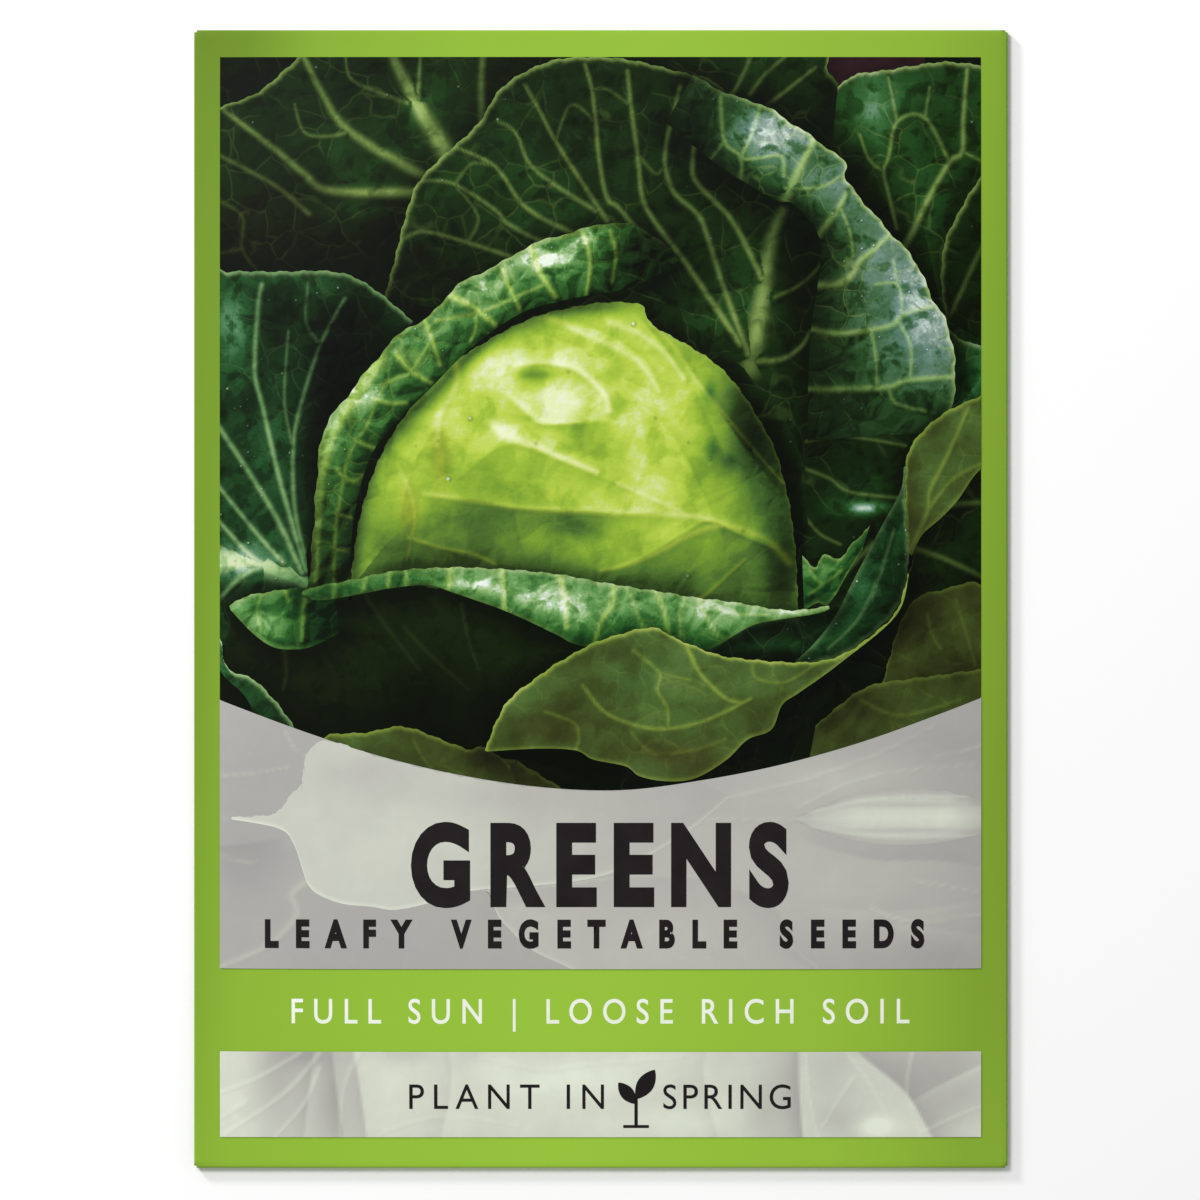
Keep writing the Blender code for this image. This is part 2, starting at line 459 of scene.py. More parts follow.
def skin_mesh(name, grid, lift, limits=FRAME_BOX):
    """A mesh from a grid of points in mm, laid on the front, and the grid's indices of its vertices."""
    points = grid.reshape(-1, 2)
    left, right, bottom, top = limits
    held = np.clip(points, (left, bottom), (right, top))
    inside = (np.abs(held - points) < SAME_PLACE).all(axis=1)
    faces = grid_faces(*grid.shape[:2])
    faces = faces[inside[faces].any(axis=1)]
    corners = held[faces]
    rise, fall = corners[:, 2] - corners[:, 0], corners[:, 3] - corners[:, 1]
    area = (rise[:, 0] * fall[:, 1] - rise[:, 1] * fall[:, 0]) / 2
    faces = faces[np.abs(area) > SMALLEST_FACE]
    if area.sum() < 0:
        faces = faces[:, ::-1]
    kept, faces = np.unique(faces, return_inverse=True)
    x, y = held[kept].T * MM
    mesh = bpy.data.meshes.new(name)
    laid = np.column_stack([x, y, front_top(x, y) + lift])
    mesh.from_pydata(laid.tolist(), [], faces.reshape(-1, 4).tolist())
    mesh.shade_smooth()
    return mesh, kept


print("picture frame, mm:", WINDOW_RIGHT - WINDOW_LEFT, "x", WINDOW_TOP - WINDOW_BOTTOM)

# %% [markdown]
# ## How a leaf is described
# The picture on the packet is a cabbage in its leaves. It is built the way an illustrator layers paper:
# each leaf is a skin between a far edge and a near edge, in mm from the middle of the packet. A leaf
# also has a tone, patches of light and dark, folds where the light changes at a line, casts of brown or
# blue, veins that start wide and end narrow, and a thin bright rim. Its far edge ripples a little. None
# of that is colour yet. It is stored on the mesh as plain numbers (light, vein, rim, tint), and the
# leaf's finish turns the numbers into ink. A leaf nearer the eye darkens what lies just behind its
# edge, so the leaves are first collected, and then made once all of them are known.
#
# The details of a plan, each a list: `across` and `along` scale the light from edge to edge and from
# end to end; a spot is x, y, two radii and an amount; a tint is the same and turns the leaf brown above
# zero and blue below; a fold is an amount, a reach and a line; a vein is a start width, an end width,
# a strength and a line.

# %% Leaf plans
EVEN = [(0, 1), (1, 1)]
PLAIN = dict(
    across=EVEN, along=EVEN, spots=[], tints=[], folds=[], veins=[],
    rim=0.6, near_rim=0.0,  # how bright the line along each edge is
    shade=0.75, near_shade=1.0, reach=2.2,  # how much the leaf darkens what lies below, and how far
    step=0.22, ripple=0.06, ripple_length=2.2, limits=FRAME_BOX,
)
picture = []


def plan_leaf(name, level, finish, tone, far, near, **details):
    """Notes a leaf for later. Higher levels lie nearer the eye."""
    given = dict(name=name, level=level, finish=finish, tone=tone, far=far, near=near)
    picture.append({**PLAIN, **given, **details})


def veins_drawn():
    return sum(len(plan["veins"]) for plan in picture)


def nearest(points, samples):
    """For each point, its distance to the closest sample and which one that is."""
    tree = KDTree(len(samples))
    for index, (x, y) in enumerate(samples):
        tree.insert((x, y, 0), index)
    tree.balance()
    found = [tree.find((x, y, 0)) for x, y in points]
    return np.array([f[2] for f in found]), np.array([f[1] for f in found])


print("nearest sample to (0, 0):", nearest([(0, 0)], [(3, 4), (6, 8)])[0])

# %% Veins and shade as numbers
TOWARD_LIGHT = np.array([-0.6, 0.8])
VEIN_SAMPLE = 0.15
VEIN_WIDTH, THINNEST_VEIN = 0.46, 0.05  # a share of the widths in the plans, and mm
VEIN_FALL, FLANK_FALL = 0.9, 0.35  # how fast a vein and its flank fade sideways
SHADOW_SHIFT = 0.5
SHADOW_FALL = 1.5
OUTLINE_SAMPLES = 160


def vein_numbers(points, veins):
    """How much each point is on a vein, and how far it faces the light on the vein's flank."""
    if not veins:
        return np.zeros(len(points)), np.zeros(len(points))
    samples, widths, strengths = [], [], []
    for start_width, end_width, strength, line in veins:
        count = max(4, round(line_length(line) / VEIN_SAMPLE))
        samples.append(smooth_line(line, count))
        widths.append(np.linspace(start_width, end_width, count) * VEIN_WIDTH / 2 + THINNEST_VEIN)
        strengths.append(np.full(count, strength))
    samples, widths, strengths = (np.concatenate(part) for part in (samples, widths, strengths))
    distance, index = nearest(points, samples)
    share = distance / widths[index]
    on_vein = np.exp(-(share**2) * VEIN_FALL) * strengths[index]
    side = ((points - samples[index]) @ TOWARD_LIGHT) / widths[index]
    flank = side * np.exp(-(share**2) * FLANK_FALL) * strengths[index]
    return on_vein, flank


def shade_numbers(points, level):
    """How much light the leaves above let through: less just behind their edges."""
    above = [plan for plan in picture if plan["level"] > level and plan["shade"] > 0]
    if not above:
        return np.ones(len(points))
    samples, strengths, reaches = [], [], []
    for plan in above:
        far = smooth_line(plan["far"], OUTLINE_SAMPLES)
        near = smooth_line(plan["near"], OUTLINE_SAMPLES)
        outline = np.concatenate([far, near]) - TOWARD_LIGHT * SHADOW_SHIFT
        samples.append(outline)
        strengths.append(plan["shade"] * np.repeat([1.0, plan["near_shade"]], len(far)))
        reaches.append(np.full(len(outline), plan["reach"]))
    samples, strengths, reaches = (np.concatenate(part) for part in (samples, strengths, reaches))
    distance, index = nearest(points, samples)
    return 1 - strengths[index] * np.exp(-((distance / reaches[index]) ** SHADOW_FALL))


middle_of_vein, _ = vein_numbers(np.zeros((1, 2)), [(1.0, 1.0, 1.0, [(-1, 0), (1, 0)])])
print("on the middle of a vein:", middle_of_vein.round(2))

# %% Spots, folds and ripples
FOLD_EDGE = 0.3
WAVES = ((1.0, 1.0, 0.0), (0.5, 2.7, 1.3), (0.3, 0.43, 0.0))  # height, pace and start of each wave


def spot_numbers(points, spots):
    total = np.zeros(len(points))
    for x, y, radius_x, radius_y, amount in spots:
        gap = ((points[:, 0] - x) / radius_x) ** 2 + ((points[:, 1] - y) / radius_y) ** 2
        total += amount * np.exp(-gap)
    return total


def fold_numbers(points, folds):
    """A crisp change of light along each line, on the right hand of someone walking it."""
    total = np.zeros(len(points))
    for amount, reach, line in folds:
        samples = smooth_line(line, max(8, round(line_length(line) / VEIN_SAMPLE)))
        forward = np.gradient(samples, axis=0)
        forward /= np.hypot(*forward.T)[:, None]
        rightward = np.stack([forward[:, 1], -forward[:, 0]], axis=1)
        distance, index = nearest(points, samples)
        side = ((points - samples[index]) * rightward[index]).sum(axis=1)
        ends = np.sqrt(np.sin(math.pi * index / (len(samples) - 1)).clip(0, 1))
        total += amount * ends * np.clip(side / FOLD_EDGE, 0, 1) * np.exp(-distance / reach)
    return total


def ripple(line, height, length):
    """The line with small uneven waves across it, as along the edge of a living leaf."""
    direction = np.gradient(line, axis=0)
    direction /= np.hypot(*direction.T)[:, None]
    travelled = np.append(0, np.cumsum(np.hypot(*np.diff(line, axis=0).T))) * 2 * math.pi / length
    wave = sum(tall * np.sin(pace * travelled + start) for tall, pace, start in WAVES)
    return line + np.stack([-direction[:, 1], direction[:, 0]], axis=1) * (wave * height)[:, None]


print("a spot at its middle:", spot_numbers(np.zeros((1, 2)), [(0, 0, 1, 1, 0.5)]))

# %% Make one leaf
RIM_WIDTH = 0.3
FLANK_LIGHT = 0.10


def store(mesh, name, values):
    mesh.attributes.new(name, "FLOAT", "POINT").data.foreach_set("value", values.astype(np.float32))


def make_leaf(plan):
    far_length, near_length = line_length(plan["far"]), line_length(plan["near"])
    columns = math.ceil(max(far_length, near_length) / plan["step"]) + 1
    far, near = smooth_line(plan["far"], columns), smooth_line(plan["near"], columns)
    far = ripple(far, plan["ripple"], plan["ripple_length"])
    span = np.hypot(*(near - far).T)
    rows = math.ceil(span.max() / plan["step"]) + 1
    share = np.linspace(0, 1, rows)[:, None, None]
    grid = far[None] * (1 - share) + near[None] * share
    mesh, kept = skin_mesh(plan["name"], grid, (plan["level"] + 2) * INK_LIFT, plan["limits"])
    across = (kept // columns) / (rows - 1)
    along = (kept % columns) / (columns - 1)
    width = span[kept % columns]
    points = np.array([vertex.co[:2] for vertex in mesh.vertices]) / MM

    light = plan["tone"] + spot_numbers(points, plan["spots"]) + fold_numbers(points, plan["folds"])
    lengthwise = np.interp(along, *zip(*plan["along"]))
    light *= np.interp(across, *zip(*plan["across"])) * lengthwise
    on_vein, flank = vein_numbers(points, plan["veins"])
    light += flank * FLANK_LIGHT
    far_rim = plan["rim"] * np.exp(-((across * width / RIM_WIDTH) ** 2))
    near_rim = plan["near_rim"] * np.exp(-(((1 - across) * width / RIM_WIDTH) ** 2))
    shade = shade_numbers(points, plan["level"])
    store(mesh, "light", light * shade)
    store(mesh, "vein", on_vein)
    store(mesh, "tint", spot_numbers(points, plan["tints"]))
    store(mesh, "rim", (far_rim + near_rim) * shade * lengthwise)
    piece = add_piece(plan["name"], mesh, plan["finish"])
    return len(piece.data.vertices)


print("leaves planned so far:", len(picture))

# %% [markdown]
# ## Leaf ink
# A leaf's colour follows its light: nearly black where it is deep in shade, through its own green, to
# the pale blue-grey of its wax where it catches the sky. That is a ramp. On top come the things that
# make it a cabbage: blisters between the small veins, lit from the upper left; the net of small veins
# itself; the main veins and the rim; a cast of brown or blue; a broken wet shine; and drops of water,
# each with a bright point and a dark foot. Relief is found by comparing a pattern with the same
# pattern a little nearer the light: where the two differ, the surface slopes.

# %% Leaf finish
BROWN_TINT = (0.95, 0.42, 0.5)
BLUE_TINT = (0.35, 0.7, 1.0)
SWAY, SWAY_SIZE = 3.0, 5.0  # how far the net of small veins is bent, and over what length
NET_LOOK, WRINKLE_LOOK = 0.3, 0.2  # how far towards the light the patterns are compared, mm
NET_RELIEF, WRINKLE_RELIEF = 4.0, 1.2
WRINKLE, CLOUD, GRAIN = 1.1, 6.0, 0.3  # sizes, mm
CLOUD_GAIN = 8
NET_LINE = 0.045
RIM_LIGHT = 0.15
DROP_EDGE, GLINT_SIZE, GLINT_SHIFT = 0.34, 0.2, 0.12
SHINE_COLOUR, GLINT_COLOUR = ink(238, 246, 240), ink(226, 240, 228)
DROP_FOOT = (0.0, 0.01, 0.0)


def nearer_light(place, distance):
    return place + [distance * part for part in (*TOWARD_LIGHT, 0.0)]


def leaf_ink(
    name, tones, vein, net=3.4, puff=0.10, thin=0.3, mottle=0.12, grain=0.10,
    blotch=0.25, blotch_size=1.7, wet=0.0, wet_size=0.8, drops=0.0, drop_size=0.8,
):
    """An ink from two ramps, tones for the leaf and vein for its veins; sizes in mm, the rest amounts."""
    paint = Paint(name, Specular_IOR_Level=PRINT_SHINE)
    place = paint.place()
    sway = paint.noise(place, SWAY_SIZE, 2, out="Color")
    bent = place + (sway - 0.5) * SWAY
    here = paint.cells(bent, net, "DISTANCE_TO_EDGE")
    there = paint.cells(nearer_light(bent, NET_LOOK), net, "DISTANCE_TO_EDGE")
    wrinkle = paint.noise(place, WRINKLE, 3)
    wrinkle = wrinkle - paint.noise(nearer_light(place, WRINKLE_LOOK), WRINKLE, 3)
    cloud = paint.noise(place, CLOUD, 3)
    patch = paint.step(paint.noise(bent, blotch_size, 4), 0.50, 0.64)
    fine = paint.noise(place, GRAIN, 3)

    light = paint.attribute("light")
    relief = (here - there) * NET_RELIEF + wrinkle * WRINKLE_RELIEF
    light = light * (1 + (cloud - 0.5) * mottle * CLOUD_GAIN) * (1 - patch * blotch)
    light = light + relief * puff + (fine - 0.5) * grain * paint.step(light, 0.05, 0.5)
    colour = paint.ramp(light, tones)
    vein_colour = paint.ramp(light, vein)
    net_mask = paint.step(here, NET_LINE, 0.0) * paint.step(cloud, 0.38, 0.62) * thin
    colour = paint.mix(colour, vein_colour, net_mask)
    colour = paint.mix(colour, vein_colour, paint.attribute("vein"))
    colour = paint.mix(colour, paint.ramp(light + RIM_LIGHT, vein), paint.attribute("rim"))
    tint = paint.attribute("tint")
    colour = paint.mix(colour, BROWN_TINT, tint, "MULTIPLY")
    colour = paint.mix(colour, BLUE_TINT, 0 - tint, "MULTIPLY")
    if wet:
        shine = paint.step(paint.noise(bent, wet_size, 4), 0.48, 0.60) * paint.step(light, 0.72, 0.98)
        colour = paint.mix(colour, SHINE_COLOUR, shine * wet)
    if drops:
        apart = paint.cells(place, drop_size)
        cell_colour = paint.cells(place, drop_size, out="Color")
        chance = paint.node("ShaderNodeSeparateColor", sockets={0: cell_colour})
        body = paint.step(apart, DROP_EDGE, 0.26) * (chance < drops)
        behind = nearer_light(place, -GLINT_SHIFT)
        glint = paint.step(paint.cells(behind, drop_size), GLINT_SIZE, 0.08) * body
        colour = paint.mix(colour, DROP_FOOT, body * 0.25)
        colour = paint.mix(colour, GLINT_COLOUR, glint * paint.step(light, 0.1, 0.8) * 0.8)
    return coated_surface(paint, place, colour)


deep_leaf = leaf_ink(
    "deep_leaf_ink",
    [
        (0.00, ink(6, 9, 6)),
        (0.14, ink(12, 20, 7)),
        (0.30, ink(20, 40, 13)),
        (0.50, ink(34, 74, 30)),
        (0.70, ink(60, 110, 60)),
        (0.86, ink(112, 150, 122)),
        (1.00, ink(190, 214, 194)),
    ],
    [(0.0, ink(18, 24, 12)), (0.3, ink(90, 116, 56)), (0.5, ink(140, 168, 88)),
     (0.9, ink(206, 224, 170))],
    thin=0.2, drops=0.02, blotch=0.3,
)
print("nodes in a leaf's ink:", len(deep_leaf.node_tree.nodes))

# %% [markdown]
# ## The leaves behind
# Five outer leaves stand behind the big one, dark, veined and out of the light. Their veins meet at
# points that the big leaf hides, so each vein is drawn from there outwards and thins on its way. Only
# the far edge of each shows; the near edge lies under the leaf in front and needs few points.

# %% Ground and back leaves
plan_leaf(
    "picture_ground", 0, deep_leaf, 0.13, step=0.5, ripple=0.0, rim=0.0, shade=0.0,
    far=[(-40, 56), (0, 56), (40, 56)],
    near=[(-40, -21), (0, -21), (40, -21)],
    tints=[(-22, 32, 12, 8, 0.5)],
)
dark_soil = leaf_ink(
    "dark_soil_ink",
    [(0.0, ink(14, 9, 10)), (0.4, ink(46, 26, 30)), (0.8, ink(78, 46, 52)), (1.0, ink(100, 62, 66))],
    [(0.0, ink(14, 9, 10)), (1.0, ink(90, 60, 60))],
    puff=0.02, thin=0.0, mottle=0.2,
)
plan_leaf(
    "soil_corner", 0.5, dark_soil, 0.6, ripple=0.0, rim=0.0, shade=0.0,
    far=[(18, 56), (33, 56)],
    near=[(20, 49), (32, 49)],
)
plan_leaf(
    "rear_left_leaf", 1, deep_leaf, 0.26, rim=0.8, shade=0.5,
    far=[(-41.7, 27), (-41, 40), (-40.1, 48.7), (-38.4, 49.9), (-35.1, 51.1), (-32, 53.6),
         (-30.2, 55.4), (-27.5, 58.7), (-18, 60), (-4, 61)],
    near=[(-20.4, 27), (-16.3, 34), (-13.3, 40), (-8.2, 45.5), (-3.1, 51.6)],
    tints=[(-33, 38, 7, 4, 0.5), (-20, 36, 6, 4, 0.35)],
    spots=[(-16, 45.4, 1.3, 2.2, 0.4), (-18.6, 50.2, 1.2, 2.6, 0.22), (-21, 41.3, 4, 0.8, 0.26),
           (-24.5, 43.8, 5, 3, 0.16), (-30.5, 51.6, 5, 3.5, 0.02), (-20.5, 46.5, 4, 3, 0.08),
           (-15, 50, 3.5, 5, 0.14), (-25.5, 52, 3, 2.5, -0.08), (-23.4, 39.4, 5, 1.2, 0.16),
           (-35.6, 36, 9, 6, -0.08), (-21, 35, 7, 5, -0.11), (-31, 42, 4, 3, -0.05)],
    veins=[
        (3.4, 1.3, 1.3, [(-13.3, 42.5), (-15.8, 45.5), (-18.9, 50.6), (-21.4, 55.6)]),
        (2.0, 0.8, 1.1, [(-13.3, 40.4), (-17.9, 42.7), (-25.4, 47.3), (-28, 50.8), (-30.3, 55.4)]),
        (1.8, 0.7, 1.1, [(-16.3, 41.1), (-27, 41.2), (-30, 43), (-33, 45.5), (-38.1, 49.4)]),
        (1.2, 0.9, 0.9, [(-12, 48.5), (-12.1, 52.1), (-11.9, 55.6)]),
        (0.6, 0.3, 0.6, [(-25.4, 47.3), (-27.5, 46.8), (-30, 47.2), (-31, 50)]),
        (0.7, 0.4, 0.7, [(-18.5, 50.6), (-18.3, 54.9)]),
        (0.6, 0.3, 0.6, [(-19.6, 50.2), (-22.9, 51.4), (-25.4, 52.8), (-25.9, 55.6)]),
        (0.8, 0.5, 0.6, [(-29.5, 38.9), (-32.5, 41.5), (-35.6, 43.3), (-38.8, 45)]),
        (0.6, 0.4, 0.35, [(-38.8, 40.4), (-36.3, 38.7), (-36.3, 35.4), (-34.4, 32.8)]),
        (0.6, 0.4, 0.35, [(-39.1, 35), (-36.3, 35.4)]),
    ],
)
plan_leaf(
    "top_right_leaf", 1, deep_leaf, 0.34, rim=0.7, shade=0.6,
    far=[(-4, 59), (10, 60), (22, 56.7), (23, 53.5), (25.1, 50.5), (26.2, 46), (25.5, 42.5),
         (23.7, 40.4)],
    near=[(-4, 52.6), (0, 48.5), (5, 45.5), (10, 43.5), (16, 41.5), (20, 38.4)],
    spots=[(25.2, 44.2, 1.8, 3, 0.4), (23, 48, 4, 3.5, -0.16), (13, 53, 6, 3, 0.05)],
    veins=[
        (0.6, 0.4, 0.6, [(12.1, 50.1), (13.6, 51.6), (15.3, 55.1)]),
        (0.6, 0.4, 0.5, [(15.1, 51.1), (16.6, 53.1), (18.9, 55.1)]),
        (0.6, 0.4, 0.7, [(16.9, 50), (19.2, 51.8), (21.7, 53.8)]),
    ],
)
print("veins so far:", veins_drawn())

# %% Back leaves at the right
plan_leaf(
    "right_back_leaf", 2, deep_leaf, 0.42, rim=0.7, shade=0.6,
    far=[(24, 51.8), (25.8, 53.1), (29.3, 53.6), (31.5, 54), (34.9, 54.4), (39.4, 54)],
    near=[(23, 42.5), (26, 34.4), (30, 27.3), (35, 20), (39.4, 18)],
    spots=[(26.6, 50, 2.6, 4, 0.3), (30, 51.5, 3, 2, 0.14), (33, 47, 3, 4, -0.03),
           (25.7, 38.5, 3, 5, -0.2), (36, 50, 3, 5, -0.04), (28, 45.5, 2, 3, 0.08),
           (33, 33, 4, 6, 0.0)],
    veins=[
        (1.1, 0.6, 0.85, [(29.3, 34.4), (30.9, 36), (33.2, 40.6), (35.3, 44.2), (36.6, 45.3),
                          (36.7, 48.5), (37.1, 53.6)]),
        (0.5, 0.4, 0.6, [(38.9, 44.2), (36.6, 45.3)]),
        (0.6, 0.5, 0.6, [(35.3, 44.2), (32.8, 48.7), (30, 48.3), (29.1, 44.7), (28.6, 43.2),
                         (29.1, 40.9), (29.9, 37.5)]),
        (0.5, 0.3, 0.45, [(30, 48.3), (29.1, 52.8)]),
        (0.5, 0.3, 0.45, [(28.6, 43.2), (27.1, 44.5), (26.2, 47)]),
        (0.5, 0.3, 0.45, [(32.8, 48.7), (33.3, 51.8)]),
    ],
)
plan_leaf(
    "right_edge_leaf", 3, deep_leaf, 0.25, rim=0.9, shade=0.5,
    far=[(39.4, 44), (37.6, 41.5), (35.6, 38), (34.7, 35.7), (34.4, 32.3), (34.9, 28.3)],
    near=[(40.4, 43), (40.4, 34.4), (39.4, 25.7)],
    veins=[(0.7, 0.5, 0.6, [(39.9, 37.9), (37.9, 34.2), (35.4, 28.7)])],
)
plan_leaf(
    "right_wax_leaf", 3, deep_leaf, 0.95, rim=0.7, shade=0.5,
    far=[(33.3, 28.8), (35.5, 27), (37.1, 26), (39.4, 25.6)],
    near=[(33.9, 17), (36.4, 15), (39.4, 15)],
    tints=[(37, 21, 4, 6, -0.5)],
    spots=[(37.5, 20, 3, 3, 0.1)],
)
print("planned:", [plan["name"] for plan in picture])

# %% [markdown]
# ## The big cupped leaf
# One leaf cups the whole head from behind. Its veins fan out from the foot of its midrib, so its near
# edge is that foot and its far edge is the outline. Its inside is in shade. Along its right side the
# leaf rolls over towards us: that roll is a band of its own, pale with wax, crossed by veins that run
# on from the leaf's own.

# %% Cupped leaf and its rolled rim
plan_leaf(
    "cupped_leaf", 4, deep_leaf, 0.295, rim=0.9, shade=0.7, reach=3.0,
    far=[(-21.9, 30.3), (-20.7, 34.9), (-19.4, 39.9), (-17.8, 43), (-12.5, 48), (-10.2, 51.6),
         (-6.2, 54.1), (-2.1, 54.9), (2.9, 54.6), (7, 53.6), (11, 52.6), (13.4, 50.6), (18, 47.5),
         (24, 42.5), (30, 33), (34, 22), (34, 13), (31, 4), (28, -1.6)],
    near=[(2, 26), (8, 23), (13, 19.5), (16, 15), (18, 9), (18.4, -1.6)],
    tints=[(-3, 46, 6, 6, 0.15), (-15, 35, 4, 3, 0.2), (25, 12, 4, 5, -0.15)],
    spots=[(16.6, 30, 2, 6, 0.12), (-8, 44, 9, 5, 0.05), (3, 46, 6, 7, 0.02), (14, 42, 7, 2.5, -0.14),
           (20.5, 31, 3, 6, -0.16), (19, 37, 3, 3, -0.14), (10, 28, 4, 4, 0.08), (16, 28, 3, 5, 0.06),
           (5, 31, 4, 3, -0.12), (-17, 33, 4, 4, -0.14), (-14, 37, 6, 3, -0.02), (24, 14, 5, 4, -0.05),
           (27, 9.2, 2.6, 0.7, 0.85), (27, 10, 4, 3, 0.1), (24, 1, 4, 3, 0.18), (28, 8, 4, 6, 0.06),
           (-18, 41, 2, 2, 0.04)],
    veins=[
        (3.6, 1.7, 0.9, [(15.1, 23.2), (15.8, 27.3), (16.6, 31.8), (17.3, 36.4), (18.4, 39.2)]),
        (1.0, 0.6, 0.8, [(14.9, 24.7), (12.3, 31.8), (10.7, 36.8), (9.8, 38.8), (7.4, 41.1),
                         (6.5, 43.8), (6.7, 46.5), (7.4, 49.2), (8, 51.8)]),
        (0.9, 0.6, 0.9, [(16.3, 32.3), (14.4, 36.2), (12.8, 38.8), (9.6, 42.2), (9.3, 44.3),
                         (9.6, 46.5), (10.6, 51.8)]),
        (1.0, 0.6, 0.9, [(14.1, 25.7), (9, 33.3), (6.6, 36.5), (4.8, 39.1), (4.1, 41.1), (3.7, 45),
                         (3.1, 49.5), (2.7, 53.4)]),
        (0.8, 0.5, 0.9, [(5, 35.4), (2, 39.3), (0.6, 40.6), (-0.2, 44.7), (-0.5, 48.2), (-0.9, 51.5),
                         (-1.6, 54.1)]),
        (0.8, 0.4, 0.8, [(0.6, 38.2), (-1.5, 41.5), (-4.6, 46.3), (-6.2, 49.4), (-7.7, 52)]),
        (0.7, 0.4, 0.7, [(-0.5, 39.2), (-6.7, 43.4), (-8.6, 47.1), (-10.4, 48.3)]),
        (0.8, 0.4, 0.85, [(-2.1, 36.6), (-7.5, 39.5), (-10.7, 43.7), (-14.8, 45.7)]),
        (0.7, 0.4, 0.7, [(-5.7, 35.9), (-9.4, 37.9), (-10.7, 39.3), (-14.8, 41.9), (-17.8, 42.3)]),
        (0.7, 0.4, 0.75, [(-8, 34.2), (-13.5, 36), (-17.8, 37.1), (-19.9, 36.4)]),
        (1.0, 0.5, 0.8, [(15.8, 24), (17.6, 24.1), (19.1, 24.6), (20.4, 25.7), (21.1, 27)]),
        (0.6, 0.4, 0.6, [(17.6, 30.5), (20.2, 31.8), (22.4, 33.9)]),
        (0.6, 0.4, 0.6, [(20.8, 15.9), (23.7, 16.5), (27.3, 16.1), (30.8, 15.5)]),
        (0.6, 0.4, 0.6, [(20.8, 13.1), (23.2, 12.1), (25.2, 10.8), (30.3, 10.2)]),
        (0.5, 0.4, 0.6, [(20.8, 8), (22.2, 6.5), (24.2, 5.5)]),
        (0.9, 0.6, 0.9, [(27.6, 5.6), (25.4, 3.5), (23.8, 1.7), (21.4, -0.3)]),
        (0.5, 0.3, 0.45, [(-0.5, 48.2), (-3, 50), (-4.6, 46.3)]),
        (0.5, 0.3, 0.45, [(-14.8, 41.9), (-13, 44), (-10.7, 43.7)]),
        (0.5, 0.3, 0.45, [(3.7, 45), (5.5, 43), (6.5, 43.8)]),
        (0.5, 0.3, 0.4, [(-13.5, 36), (-12.4, 38.6), (-14.8, 41.9)]),
        (0.5, 0.3, 0.4, [(2.9, 50), (0.6, 51.6), (-0.9, 51.5)]),
    ],
)

